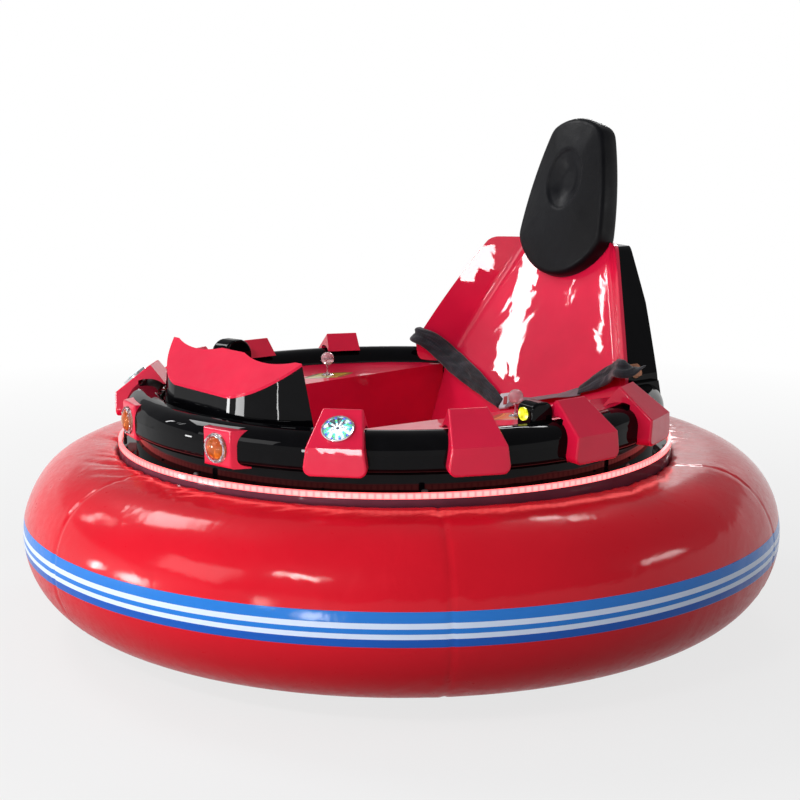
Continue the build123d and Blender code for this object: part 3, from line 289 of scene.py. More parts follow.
def clear_plastic(name, color, roughness, transmission=0.95, emission=0.0, glow=None):
    """Clear or tinted moulding, faintly uneven, that may glow a little."""
    made = Surface(name, Base_Color=color, Transmission_Weight=transmission, IOR=1.45,
                   Emission_Strength=emission, Emission_Color=glow or color)
    return made.set(
        Roughness=made.span(made.noise(150.0), 0.3, 0.8, roughness, roughness + 0.08),
        Normal=made.bump(made.noise(300.0, 1.0), 0.00004)).material


def lamp_glow(name, color, strength):
    """A lit lamp chip, a little paler in places."""
    made = Surface(name, Base_Color=color, Emission_Strength=strength, Roughness=0.3)
    glow = made.span(made.noise(400.0, 1.0), 0.3, 0.7, color, tint(color, 1.0, 0.25))
    return made.set(Emission_Color=glow).material


def led_sleeve():
    """Sleeve over a row of red lamps: a bright dot at each, pink between them."""
    made = Surface("led_sleeve", Roughness=0.35, Coat_Weight=0.6)
    x, y, z = made.split(made.place)
    turn = made.maths("ARCTAN2", made.maths("SUBTRACT", y, BODY_Y), x)
    cell = made.maths("FRACT", made.maths("MULTIPLY", turn, LED_COUNT / TAU))
    off = made.maths("ABSOLUTE", made.maths("SUBTRACT", cell, 0.5))
    tall = made.maths("ABSOLUTE", made.maths("SUBTRACT", z, LED_MIDDLE.z))
    dot = made.maths("MULTIPLY", made.span(off, 0.24, 0.46, 1.0, 0.0),
                     made.span(tall, 0.003, 0.006, 1.0, 0.3))
    color = made.ramp(dot, (0.0, (1.0, 0.115, 0.12, 1)), (0.5, (1.0, 0.14, 0.14, 1)),
                      (1.0, (1.0, 0.155, 0.145, 1)))
    return made.set(Base_Color=srgb(150, 40, 45), Emission_Color=color,
                    Emission_Strength=made.span(dot, 0.0, 1.0, 2.8, 3.9)).material


def cloth(name, color, light, threads):
    """Woven cloth: threads across and along the strap, from the mesh's own strap coordinates."""
    made = Surface(name, Roughness=0.85, Sheen_Weight=0.3, Sheen_Roughness=0.5)
    along = made.attribute("strap")
    weave = made.maths("MULTIPLY", made.waves(threads, "Y", along), made.waves(threads, "X", along))
    wear = made.span(made.noise(25.0, 5.0, 0.65), 0.35, 0.75)
    share = made.maths("MULTIPLY", wear, made.span(weave, 0.0, 1.0, 0.35, 1.0))
    folds = made.bump(made.noise(45.0, 3.0, 0.55, 1.2), 0.0012)
    return made.set(Base_Color=made.mix(share, color, light),
                    Normal=made.bump(weave, 0.0003, under=folds)).material


def foam_skin():
    """Self-skinned foam, matte, with a leather-like grain and a dull sheen where it is worn."""
    made = Surface("foam_skin", Specular_IOR_Level=0.13)
    grain = made.bump(made.cells(420.0, "SMOOTH_F1"), 0.00022)
    return made.set(
        Base_Color=made.span(made.noise(6.0, 4.0), 0.35, 0.7, srgb(6, 6, 9), srgb(12, 13, 18)),
        Roughness=made.span(made.noise(30.0, 4.0, 0.6), 0.3, 0.7, 0.36, 0.52),
        Normal=made.bump(made.noise(14.0), 0.0022, under=grain)).material


def decal(name, warm, light, line):
    """A generic four-pointed leaf in two tones with fine outlines, in the mesh's own u and v."""
    made = Surface(name, Roughness=0.3, Coat_Weight=0.6, Coat_Roughness=0.08)
    u, v, _ = made.split(made.attribute("strap"))
    away = made.maths("ADD", *(made.maths("POWER", made.maths("ABSOLUTE", part), 0.8)
                               for part in (u, v)))
    bands = made.ramp(away, (0.0, light), (0.34, line), (0.38, warm), (0.72, line), (0.76, light),
                      (0.92, line), steps=True)
    faded = made.mix(0.25, bands, line)
    return made.set(Base_Color=made.span(made.noise(30.0, 4.0), 0.3, 0.7, bands, faded),
                    Normal=made.bump(made.noise(300.0, 2.0), 0.00003)).material


def rim_skin():
    """Black gloss rim whose outer edge under the lamps is painted a dusky mauve, a painted
    reflection of their red light.
    """
    made = Surface("black_rim", Specular_IOR_Level=0.0, Coat_Weight=0.7, Coat_Roughness=0.04,
                   Coat_IOR=1.3)
    x, y, _ = made.split(made.place)
    radius = made.away(x, made.maths("SUBTRACT", y, BODY_Y))
    edge = made.maths("GREATER_THAN", radius, FLANGE_R - 2 * MM)
    worn = made.span(made.noise(14.0, 5.0, 0.6), 0.4, 0.8)
    # painted reflection: the red lamps' light on the black rim's outer edge
    mauve = made.mix(worn, srgb(104, 52, 68), srgb(84, 40, 54))
    black = made.mix(worn, srgb(6, 6, 8), srgb(14, 12, 14))
    return made.set(Base_Color=made.mix(edge, black, mauve),
                    Roughness=made.span(worn, 0.0, 1.0, 0.35, 0.5),
                    Normal=made.bump(made.noise(9.0, 2.0, 0.45), 0.001)).material


RED = gel_coat("red_gel_coat", srgb(230, 22, 66), 0.0010, roughness=0.34, coat=0.7)
RED_SEAT = gel_coat("red_seat_gel_coat", srgb(242, 26, 72), 0.0005, roughness=0.3, coat=1.0)
RED_SATIN = gel_coat("red_satin", srgb(226, 28, 66), 0.0008, roughness=0.55, coat=0.08)
BLACK = black_gloss()
TUB = moulded("tub_moulding", srgb(30, 30, 32), 0.6, 350.0, 0.0003)
PLASTIC = moulded("black_plastic", srgb(22, 22, 24), 0.42)
STEEL_BLACK = moulded("frame_paint", srgb(28, 28, 31), 0.38, 260.0, 0.00012, coat=0.35)
ZINC = metal("zinc_plate", srgb(196, 196, 190), 0.34)
CHROME = metal("chrome", srgb(226, 226, 230), 0.1, dark=0.8)
ALUMINIUM = metal("cast_aluminium", srgb(176, 177, 180), 0.42, depth=0.0001)
BRONZE = metal("bronze_plate", srgb(150, 104, 82), 0.38, depth=0.0001, dark=0.5)
TYRE = moulded("tyre_rubber", srgb(26, 26, 27), 0.75, 300.0, 0.0003)
GREY_RUBBER = moulded("caster_tread", srgb(84, 86, 90), 0.6, 400.0, 0.0002)
CASE = moulded("battery_case", srgb(40, 41, 46), 0.5, 300.0, 0.0002)
FOAM = foam_skin()
SLEEVE = cloth("belt_pad", srgb(18, 19, 26), srgb(52, 54, 68), 45.0)
# painted sheen: the webbing is black, and this mauve grey is how it looks lit at a grazing angle
PAINTED_SHEEN_WEBBING = cloth("belt_webbing_painted_sheen", srgb(104, 84, 92), srgb(158, 138, 146), 75.0)
KNOB = clear_plastic("clear_knob", srgb(236, 202, 208), 0.16, 0.62)
CLEAR = clear_plastic("clear_rim", (0.97, 0.97, 0.98, 1), 0.02)
AMBER = clear_plastic("amber_dome", srgb(222, 122, 34), 0.05, 0.7, 0.02, srgb(255, 120, 10))
WHITE_PLASTIC = moulded("pale_plastic", srgb(206, 206, 212), 0.35)
RED_BUTTON = moulded("release_button", srgb(170, 24, 30), 0.35)


# ---- meshes
def in_scene(name, data):
    """A new object with this data, in the scene."""
    made = bpy.data.objects.new(name, data)
    bpy.context.scene.collection.objects.link(made)
    return made


def piece(name, points, faces, material, body=ROOT, smooth=True, strap=None):
    """A mesh object that rides on a CAD body; strap is a vector a point, for its material."""
    mesh = bpy.data.meshes.new(name)
    mesh.from_pydata([tuple(p) for p in points], [], faces)
    mesh.validate()
    if smooth:
        mesh.shade_smooth()
    if strap:
        values = mesh.attributes.new("strap", "FLOAT_VECTOR", "POINT").data
        for item, value in zip(values, strap):
            item.vector = value
    mesh.materials.append(material)
    made = in_scene(name, mesh)
    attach(made, body)
    return made


def grid_faces(rows, columns, wrap_rows=False):
    """Quads over closed rings of points stored ring by ring."""
    faces = []
    for i in range(rows if wrap_rows else rows - 1):
        this, following = i * columns, (i + 1) % rows * columns
        for j in range(columns):
            beside = (j + 1) % columns
            faces.append((this + j, this + beside, following + beside, following + j))
    return faces


def capped_faces(rows, columns):
    """Quads over a tube of points stored ring by ring, with a lid on each end."""
    last = (rows - 1) * columns
    return grid_faces(rows, columns) + [tuple(reversed(range(columns))),
                                        tuple(range(last, last + columns))]


class Shape:
    """Collects several closed parts into one mesh."""

    def __init__(self):
        self.points, self.faces = [], []

    def add(self, points, faces, place):
        start = len(self.points)
        self.points += [place @ Vector(p) for p in points]
        self.faces += [tuple(start + i for i in face) for face in faces]
        return self

    def lathe(self, profile, segments, place):
        """Turn a profile of (radius, height) points about local Z, closed at both ends."""
        points = [polar(r, turn, h) for r, h in profile for turn in turns(segments)]
        return self.add(points, capped_faces(len(profile), segments), place)

    def loop(self, section, segments, place):
        """A closed ring about local Z from a closed section of (radius, height) points."""
        points = [polar(r, turn, h) for turn in turns(segments) for r, h in section]
        return self.add(points, grid_faces(segments, len(section), wrap_rows=True), place)

    def block(self, size, place, bevel):
        """A box with its edges cut at 45 degrees, about the local origin."""
        x, y, z = (s / 2 for s in size)
        b = min(bevel, x * 0.9, y * 0.9, z * 0.9)
        points = []
        for inset, level in ((b, -z), (0, -z + b), (0, z - b), (b, z)):
            a, c = x - inset, y - inset
            corners = [(a - b, c), (-a + b, c), (-a, c - b), (-a, -c + b),
                       (-a + b, -c), (a - b, -c), (a, -c + b), (a, c - b)]
            points += [(*corner, level) for corner in corners]
        return self.add(points, capped_faces(4, 8), place)

    def bolt(self, radius, height, place, sides=6):
        """A bolt head on a washer, standing along local Z."""
        washer = [(1.5, 0), (1.5, 0.2), (1.4, 0.25)]
        head = [(1, 0.25), (1, 0.85), (0.86, 1)]
        for section, around in ((washer, 24), (head, sides)):
            self.lathe([(r * radius, h * height) for r, h in section], around, place)

    def made(self, name, material, slot, body=ROOT, smooth=False):
        return piece(name, self.points, self.faces, material, body, smooth)


def framed(at, *axes):
    """Placement at a point with these local axes."""
    return Matrix.Translation(at) @ Matrix(axes).transposed().to_4x4()


def facing(at, direction, up=UP):
    """Placement with local Z along a direction and local Y as near as it can be to up."""
    z = Vector(direction).normalized()
    x = Vector(up).cross(z)
    x = x.normalized() if x.length > 1e-6 else Vector((1, 0, 0))
    return framed(at, x, z.cross(x), z)


def dress(material, *nodes):
    """Give CAD nodes a finish."""
    for node in nodes:
        finishes = NODES[node].data.materials
        finishes.clear()
        finishes.append(material)


def smooth_step(low, high, value):
    share = min(1.0, max(0.0, (value - low) / (high - low)))
    return share * share * (3 - 2 * share)


def distances(line):
    """How far along a line of points each one lies."""
    return [0.0, *accumulate((b - a).length for a, b in zip(line, line[1:]))]


def walked(line, passed, distance):
    """The point a distance along a line; passed is how far along each of its points lies."""
    k = min(bisect_left(passed, distance, 1), len(line) - 1)
    step = max(1e-9, passed[k] - passed[k - 1])
    return line[k - 1].lerp(line[k], (distance - passed[k - 1]) / step)


# ---- inflated tube
TUBE_SEAMS = 6
FIRST_SEAM = math.radians(-32.5)  # from the +X axis
PUCKER_REACH = 120 * MM  # how far puckers run out from the rim
PUCKER_DEPTH = 8 * MM
PUCKER_LENGTH = 26 * MM  # from one pucker to the next
CALM_TURN = math.radians(-33)  # where the skin lies smoothest under the rim
RIM_BULGE = 17 * MM  # skin standing up round the rim that presses on it
RIM_REACH = 46 * MM
SKIN_SWELL = 1.6 * MM  # broad unevenness of the whole skin
SEAM_DEPTH, SEAM_GROOVE = mm(2.6, 7)  # depth and width of the groove along a weld
LAP_HEIGHT, LAP_HALF = mm(0.5, 12)  # height and half width of the lap beside it
SEAM_PULL, SEAM_REACH = mm(1.3, 55)  # creases across a weld, and how far they run


def tube_push(turn, lean):
    """How far the skin stands out of its oval, at a turn about Z and a lean round the section."""
    radius = TUBE_MID_R + TUBE_HALF_W * math.cos(lean)
    x, y, _ = polar(radius, turn)
    rim = math.hypot(x, y - BODY_Y) - FLANGE_R
    top = smooth_step(0.1, 0.5, math.sin(lean))
    fade = top * (1 - smooth_step(0.0, PUCKER_REACH, rim)) * smooth_step(-30 * MM, 4 * MM, rim)
    ripple = noise.noise(polar(FLANGE_R / PUCKER_LENGTH, turn + 2.0 * rim, rim * 6))
    patch = 0.55 + 0.9 * noise.noise(polar(3, turn, 4.0))
    calm = 0.3 + 0.7 * smooth_step(0.02, 0.14, (1 - math.cos(turn - CALM_TURN)) / 2)
    push = PUCKER_DEPTH * fade * patch * calm * (ripple - 0.25)
    bulge = math.exp(-(max(rim, 0.0) / RIM_REACH) ** 2) * smooth_step(0.0, 9 * MM, rim)
    push += RIM_BULGE * bulge * top
    broad = noise.noise(polar(5, turn, 2 * math.sin(lean)))
    push += SKIN_SWELL * broad * (1 - smooth_step(-60 * MM, 10 * MM, -abs(rim) * top))
    for seam, seam_turn in enumerate(turns(TUBE_SEAMS, FIRST_SEAM)):
        away = radius * ((turn - seam_turn + math.pi) % TAU - math.pi)
        push -= SEAM_DEPTH * math.exp(-(away / SEAM_GROOVE) ** 2)
        push += LAP_HEIGHT * (1 - smooth_step(LAP_HALF * 0.75, LAP_HALF, abs(away)))
        near = math.exp(-(away / SEAM_REACH) ** 2)
        push += near * SEAM_PULL * noise.noise((lean * 14, away * 30, seam))
    return push


def inflated_tube(around=900, section=104):
    """The bumper's skin: an oval ring with welds, puckers at the rim and a broad swell."""
    points = []
    for turn in turns(around):
        for lean in turns(section):
            push = tube_push(turn, lean)
            radius = TUBE_MID_R + (TUBE_HALF_W + push) * math.cos(lean)
            points.append(polar(radius, turn, TUBE_Z + (TUBE_HALF_H + push) * math.sin(lean)))
    tube = piece("inflated_tube", points, grid_faces(around, section, wrap_rows=True),
                 tube_skin())
    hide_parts("bumper_tube")


# ---- headrest
HEAD_TILT = math.radians(12.5)
HEAD_FACE = mm(0, 552, 944)  # a point of its face
HEAD_MIDDLE = Vector(mm(0, 130))  # where the face's rows run in to, from that point
HEAD_T = 72 * MM
HEAD_EDGE = 17 * MM  # rounding between face and side
HEAD_CROWN = 15 * MM  # the face's middle ahead of its edge
HEAD_BULGE = 1.5 * MM  # the sides' swell
HEAD_ARC, HEAD_SIDE, HEAD_FRONT, HEAD_BACK = 6, 6, 40, 5  # rows of points over each stretch
DIMPLE_UP, DIMPLE_HALF_W, DIMPLE_HALF_H, DIMPLE_DEPTH = mm(162, 66, 88, 24)


def head_outline(place, steps=150):
    """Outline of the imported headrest, as evenly spaced, slightly smoothed (across, up) points."""
    back = place.inverted()
    flat = sorted({(round(p.x, 5), round(p.y, 5)) for p in
                   (back @ v.co for v in NODES["headrest"].data.vertices)})
    order = geometry.convex_hull_2d(flat)
    first = order.index(0)
    hull = [Vector(flat[k]) for k in order[first:] + order[:first + 1]]
    passed = distances(hull)
    even = [walked(hull, passed, passed[-1] * k / steps) for k in range(steps)]
    for _ in range(3):
        even = [(even[k - 1] + even[k] * 2 + even[(k + 1) % steps]) / 4 for k in range(steps)]
    return even


def headrest():
    """Thick foam pad: crowned face with an oval dimple, rounded edges, slightly swollen sides."""
    place = facing(HEAD_FACE, (0, -math.cos(HEAD_TILT), math.sin(HEAD_TILT)))
    outline = head_outline(place)
    count = len(outline)

    def inward(distance, depth):
        """The outline moved in by a distance, at a depth behind the face."""
        ring = []
        for k in range(count):
            before, here, after = (Vector(outline[(k + d) % count]) for d in (-1, 0, 1))
            along = (after - before).normalized()
            ring.append((here + Vector((-along.y, along.x)) * distance, depth))
        return ring

    def shrunk(ring, share, depth):
        return [(HEAD_MIDDLE + (p - HEAD_MIDDLE) * share, depth) for p, _ in ring]

    def dented(p, share):
        """How far the face lies behind its plane, at a share of the way out to its edge."""
        away = math.hypot(p.x / DIMPLE_HALF_W, (p.y - DIMPLE_UP) / DIMPLE_HALF_H)
        bowl = (1 - smooth_step(0.25, 1.0, away)) * 0.75 + 0.25 * (1 - smooth_step(0.86, 1.0, away))
        return DIMPLE_DEPTH * bowl - HEAD_CROWN * (1 - share ** 2.2)

    arc = quarter(HEAD_ARC)
    rows = [inward(HEAD_EDGE * (1 - math.sin(a)), HEAD_EDGE * (1 - math.cos(a))) for a in arc]
    for step in range(1, HEAD_SIDE):
        rows.append(inward(-HEAD_BULGE * math.sin(math.pi * step / HEAD_SIDE),
                           HEAD_EDGE + (HEAD_T - 2 * HEAD_EDGE) * step / HEAD_SIDE))
    rows += [inward(HEAD_EDGE * (1 - math.cos(a)), HEAD_T - HEAD_EDGE * (1 - math.sin(a)))
             for a in arc]
    front = [shrunk(rows[0], step / HEAD_FRONT, 0) for step in range(1, HEAD_FRONT)]
    back = [shrunk(rows[-1], step / HEAD_BACK, HEAD_T) for step in range(HEAD_BACK - 1, 0, -1)]
    rows = front + rows + back
    points = []
    for number, row in enumerate(rows, 1):
        share = number / HEAD_FRONT
        for p, depth in row:
            depth += dented(p, share) if share < 1 else 0.0
            points.append(place @ Vector((p.x, p.y, -depth)))
    faces = grid_faces(len(rows), count)
    start, end, last = len(points), len(points) + 1, len(points) - count
    for depth in (dented(HEAD_MIDDLE, 0.0), HEAD_T):
        points.append(place @ Vector((*HEAD_MIDDLE, -depth)))
    for k in range(count):
        beside = (k + 1) % count
        faces += [(start, beside, k), (end, last + k, last + beside)]
    pad = piece("headrest_pad", points, faces, FOAM)
    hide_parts("headrest")


# ---- belt
RECLINE = 0.385
BACK_AT = mm(435, 499)  # y of the backrest's face, at this z
TO_RIDER = Vector((0, -1, RECLINE)).normalized()
BUCKLE_LOW, BUCKLE_HIGH = mm(-100, 474), mm(207, 545)  # the buckle lies along this line,
BUCKLE_ALONG, BUCKLE_LIFT = mm(41, 3.5)  # this far up it and off it


def on_back(x, z, lift):
    """A point over the plane of the backrest's flat panel."""
    y = BACK_AT[0] + RECLINE * (z - BACK_AT[1]) - lift * math.sqrt(1 + RECLINE ** 2)
    return Vector((x, y, z))


def out_from(along):
    """The direction square to a strap that points most to the rider."""
    return (TO_RIDER - along * TO_RIDER.dot(along)).normalized()


def off_seat(x, z, lift):
    """A point off the backrest's own face at this x and z, in millimetres."""
    x, z, lift = mm(x, z, lift)
    hit, spot, normal, _ = NODES["seat_back"].ray_cast(Vector((x, 0.0, z)), Vector((0, 1, 0)))
    return spot + normal * lift if hit else on_back(x, z, lift)


def profile_at(levels, share):
    """Value at a share of the way along evenly spaced levels, smoothly."""
    spot = share * (len(levels) - 1)
    low = min(int(spot), len(levels) - 2)
    t = smooth_step(0, 1, spot - low)
    return levels[low] * (1 - t) + levels[low + 1] * t


def smooth_line(name, path):
    """Closely spaced points of a NURBS spline."""
    curve = bpy.data.curves.new(name + "_path", "CURVE")
    curve.dimensions = "3D"
    spline = curve.splines.new("NURBS")
    spline.points.add(len(path) - 1)
    for point, co in zip(spline.points, path):
        point.co = (*co, 1)
    spline.order_u = 4
    spline.use_endpoint_u = True
    spline.resolution_u = 24
    holder = bpy.data.objects.new(name + "_path", curve)
    line = [v.co.copy() for v in bpy.data.meshes.new_from_object(holder).vertices]
    bpy.data.objects.remove(holder)
    return line


def rounded(radius, power, value):
    """One coordinate of a rounded oblong, from a sine or cosine."""
    return radius * math.copysign(abs(value) ** (2 / power), value)


def strap_mesh(name, path, widths, thicknesses, leans, material, slot, steps, columns,
               power=2.6, puff=0.0, seed=0.0):
    """A strap along a smooth path; half widths, half thicknesses and leans change along it."""
    line = smooth_line(name, path)
    passed = distances(line)
    total = passed[-1]

    def at(share):
        return walked(line, passed, share * total)

    points, strap = [], []
    for i in range(steps + 1):
        share = i / steps
        here = at(share)
        along = (at(min(1, share + 0.01)) - at(max(0, share - 0.01))).normalized()
        normal = Matrix.Rotation(profile_at(leans, share), 3, along) @ out_from(along)
        across = along.cross(normal)
        half_w, half_t = profile_at(widths, share), profile_at(thicknesses, share)
        close = 1.0
        if puff:  # padding: its ends close, and its width and thickness wander
            end = min(share, 1 - share) * total
            close = max(0.06, math.sqrt(max(0.0, 1 - max(0.0, 1 - end / (half_t * 1.6)) ** 2)))
            half_w *= 1 + 0.10 * noise.noise((share * total * 22, 0.0, seed + 9))
        for turn in turns(columns):
            wide = rounded(half_w, power, math.cos(turn))
            thick = rounded(half_t, power, math.sin(turn))
            if puff:
                spot = Vector((share * total * 13 + wide * 10, wide * 34, seed))
                fold = noise.noise(spot) + 0.6 * noise.noise(spot * 2.6)
                middle = 0.5 * noise.noise((share * 5, seed, 1))
                crease = math.exp(-((wide / half_w - middle) / 0.16) ** 2)
                thick *= 1 + puff * fold - 0.5 * crease
            points.append(here + across * wide + normal * (thick * close))
            strap.append((share * total, wide, 0.0))
    made = piece(name, points, capped_faces(steps + 1, columns), material, strap=strap)
    return made, total


def belt():
    """Lap belt over the backrest: two padded sleeves, webbing between them, and a buckle."""
    routes = {  # path, half widths, half thicknesses, leans
        "left_belt_sleeve": (
            [mm(431, 436, 634), mm(440, 392, 640), mm(420, 362, 643), off_seat(380, 636, 14),
             off_seat(330, 612, 12), off_seat(265, 578, 12), off_seat(207, 545, 9)],
            mm(22, 24, 28, 27, 15), mm(7, 9, 10, 9, 6), (0.0, 0.0, 0.3, 0.2, 0.5)),
        "right_belt_sleeve": (
            [mm(-431, 436, 634), mm(-436, 396, 642), mm(-414, 380, 642), off_seat(-388, 628, 17),
             off_seat(-358, 594, 18), off_seat(-316, 564, 18), off_seat(-260, 543, 15),
             off_seat(-204, 525, 14), off_seat(-138, 500, 12), off_seat(-70, 473, 9)],
            mm(22, 27, 31, 32, 30, 24, 16), mm(8, 11, 12, 12, 11, 9, 6),
            (0.0, -0.3, -0.5, -0.3, 0.1, 0.1, 0.0)),
    }
    for number, (name, route) in enumerate(routes.items()):
        sleeve, _ = strap_mesh(name, *route, SLEEVE, "belt_pad", steps=190, columns=64,
                               puff=0.75, seed=3.0 + 5 * number)
        if number == 0:
            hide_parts("belt_sleeves")
    path = [off_seat(-45, 482, 6), off_seat(30, 496, 14), off_seat(110, 514, 16),
            off_seat(175, 534, 9), off_seat(214, 549, 4)]
    web, length = strap_mesh("belt_webbing_strip", path, mm(22, 22, 22, 20),
                             mm(1.3, 1.3, 1.3, 1.3), (-0.5, -1.0, -1.0, -0.5), PAINTED_SHEEN_WEBBING,
                             "belt_webbing", steps=80, columns=24, power=8.0)
    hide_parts("belt_webbing")
    buckle()


def buckle():
    """A pale case with a red button, and the tongue in its end."""
    low, high = on_back(*BUCKLE_LOW, 2 * MM), on_back(*BUCKLE_HIGH, 2 * MM)
    along = (high - low).normalized()
    normal = out_from(along)
    place = framed(low + along * BUCKLE_ALONG + normal * BUCKLE_LIFT, along,
                   normal.cross(along), normal)

    def beside(x, z=0):
        return place @ Matrix.Translation(mm(x, 0, z))

    case = Shape().block(mm(40, 46, 9), place, 3 * MM)
    case.block(mm(12, 36, 6), beside(-22), 2 * MM)
    case = case.made("belt_buckle_case", WHITE_PLASTIC, "buckle_plastic")
    Shape().block(mm(14, 24, 3), beside(6, 5), 1.2 * MM).made(
        "belt_buckle_button", RED_BUTTON, "buckle_plastic")
    Shape().block(mm(26, 38, 2), beside(26), 0.8 * MM).made("belt_tongue", CHROME, "chrome")
    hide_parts("belt_buckle")


# ---- lamps
HEADLAMP_X = 204 * MM
HEADLAMP_R = RING_OUT_R + 5 * MM
HEADLAMP_Y = BODY_Y - math.sqrt(HEADLAMP_R ** 2 - HEADLAMP_X ** 2)
HEADLAMP_TURN = math.asin(HEADLAMP_X / HEADLAMP_R) - math.radians(6)
HEADLAMP_Z = middle_of("left_headlamp").z
BEZEL = (mm(33.6, -4.5), mm(33.6, 4.5), mm(32.2, 7), mm(29.8, 8.4), mm(27.4, 7), mm(26.8, 2),
         mm(26.6, -4.5))  # section of the clear rim, as radius and height
BEZEL_FACETS, BEZEL_TOOTH = 26, 1.1 * MM
DOME_R, DOME_RIB, DOME_BASE, DOME_HEIGHT = mm(26.2, 0.6, 2.5, 15)
DOME_ROWS, DOME_COLUMNS = 9, 48
BEZEL_SCREW_R = 29.8 * MM

LIGHT_ANGLE = math.radians(41.5)  # from straight ahead to a lug's round light
LIGHT_R = 36 * MM
LIGHT_OUT = 41 * MM  # its middle, out from the ring's middle
LUG_SLOPE = math.atan2(71, 90)  # fall of a lug's face
LUG_OUT, LUG_LOW = mm(82, 25)  # that face's low end, from the ring's middle and its top
PETALS = 10


def headlamps():
    """Round lamps: faceted clear rim, ribbed amber dome and a bright cup behind them."""
    rims, domes, cups, screws = Shape(), Shape(), Shape(), Shape()
    for side in (1, -1):
        out = Vector((side * math.sin(HEADLAMP_TURN), -math.cos(HEADLAMP_TURN), 0))
        place = facing((side * HEADLAMP_X, HEADLAMP_Y, HEADLAMP_Z), out)
        bezel = [polar(radius, turn, height + BEZEL_TOOTH * (k % 2) * (height > 4 * MM))
                 for radius, height in BEZEL for k, turn in enumerate(turns(2 * BEZEL_FACETS))]
        rims.add(bezel, grid_faces(len(BEZEL), 2 * BEZEL_FACETS, wrap_rows=True), place)
        dome = [polar((DOME_R - DOME_RIB * (k % 2)) * math.cos(lean), turn,
                      DOME_BASE + DOME_HEIGHT * math.sin(lean))
                for lean in quarter(DOME_ROWS)[:-1] for k, turn in enumerate(turns(DOME_COLUMNS))]
        domes.add(dome, capped_faces(DOME_ROWS, DOME_COLUMNS), place)
        cups.lathe([mm(33, -4.8), mm(33, -4.6), mm(12, -4.4)], 40, place)
        for turn in turns(3, math.radians(30)):
            spot = place @ Vector(polar(BEZEL_SCREW_R, turn, 8 * MM))
            screws.bolt(*mm(1.8, 2.2), facing(spot, out), 24)
    rim = rims.made("headlamp_rims", CLEAR, "amber_lens")
    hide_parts("headlamp_lenses")
    domes.made("headlamp_domes", AMBER, "amber_lens", smooth=True)
    cups.made("headlamp_cups", CHROME, "chrome")
    screws.made("headlamp_screws", CHROME, "chrome")


def lug_lights():
    """Round lights on the first lugs: petals of coloured lamps under a clear, low dome."""
    colors = {"white": (srgb(232, 244, 255), 0.85), "cyan": (srgb(60, 215, 205), 0.7),
              "green": (srgb(80, 215, 120), 0.7), "blue": (srgb(30, 50, 215), 0.9)}
    circles = ((6, 2.6, ("white", "white")), (11.5, 2.6, ("white", "white")),
               (17, 2.7, ("white", "cyan")), (22.5, 2.7, ("cyan", "green")),
               (28, 2.6, ("blue", "blue")))  # radius, chip radius, colours of every other petal
    chips = {key: Shape() for key in colors}
    plates, rims, covers = Shape(), Shape(), Shape()
    inner = LIGHT_R - 4 * MM
    rim_section = [(LIGHT_R, 0.3 * MM), (LIGHT_R, 5.5 * MM), (LIGHT_R - 1.5 * MM, 7 * MM),
                   (inner, 6 * MM), (inner, 0.3 * MM)]
    dome = [(inner * math.cos(a), 3.4 * MM + 6.5 * MM * math.sin(a)) for a in quarter(8)[:-1]]
    dome.append(mm(0.4, 9.9))
    for side in (1, -1):
        level = Vector((math.sin(side * LIGHT_ANGLE), -math.cos(side * LIGHT_ANGLE), 0))
        height = RING_TOP - LUG_LOW + (LUG_OUT - LIGHT_OUT) * math.tan(LUG_SLOPE)
        at = level * (RING_R + LIGHT_OUT) + Vector((0, BODY_Y, height))
        place = facing(at, level * math.sin(LUG_SLOPE) + UP * math.cos(LUG_SLOPE))
        plates.lathe([mm(34, 0.3), mm(34, 3)], 48, place)
        rims.loop(rim_section, 64, place)
        covers.lathe(dome, 48, place)
        for k, turn in enumerate(turns(PETALS)):
            for radius, size, keys in circles:
                spot = place @ Matrix.Translation(polar(radius * MM, turn, 3 * MM))
                chip = [mm(size, 0), mm(size, 0.8), mm(size * 0.6, 1.6)]
                chips[keys[k % 2]].lathe(chip, 10, spot)
    plate = plates.made("lug_light_plates", moulded("lamp_plate", srgb(20, 24, 70), 0.4),
                        "light_lens")
    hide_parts("lug_lights")
    rims.made("lug_light_rims", CHROME, "chrome")
    covers.made("lug_light_covers", CLEAR, "light_lens", smooth=True)
    for key, (color, strength) in colors.items():
        chips[key].made("lug_light_" + key, lamp_glow("lamp_" + key, color, strength),
                        "light_lens")


def side_lamps():
    """Yellow lens on the forward end of each side lamp."""
    made = Surface("yellow_lens", Base_Color=srgb(210, 210, 30), Roughness=0.2, Coat_Weight=0.8,
                   Emission_Strength=1.5)
    glow = made.ramp(made.cells(60.0), (0.0, srgb(255, 255, 214)), (0.3, srgb(246, 242, 70)),
                     (0.62, srgb(146, 150, 14)), (0.9, srgb(60, 62, 6)))
    made.set(Emission_Color=glow, Normal=made.bump(made.cells(260.0), 0.0006))
    dress(made.material, "side_lamp_lenses")


# ---- controls
DECAL_HALF_X, DECAL_HALF_Y, DECAL_SHIFT = mm(46, 86, 4)
DECAL_LIFT = 0.35 * MM


def decals():
    """A generic leaf print round each joystick."""
    styles = {"left": (1, srgb(226, 128, 26), srgb(238, 178, 52), srgb(150, 78, 20)),
              "right": (-1, srgb(192, 168, 30), srgb(232, 214, 58), srgb(122, 104, 22))}
    rows, columns = 12, 64
    for tag, (side, warm, light, line) in styles.items():
        points, strap = [], []
        for i in range(rows + 1):
            share = i / rows
            for turn in turns(columns):
                u, v = rounded(share, 1.25, math.cos(turn)), rounded(share, 1.25, math.sin(turn))
                points.append((side * (STICK_X + v * DECAL_HALF_X - DECAL_SHIFT),
                               STICK_Y + u * DECAL_HALF_Y,
                               CONSOLE_TOP + DECAL_LIFT * (1 - share ** 8)))
                strap.append((u, v, 0.0))
        faces = grid_faces(rows + 1, columns)
        if side < 0:
            faces = [tuple(reversed(face)) for face in faces]
        name = tag + "_console_decal"
        piece(name, points, faces, decal(name + "_print", warm, light, line),
              strap=strap)


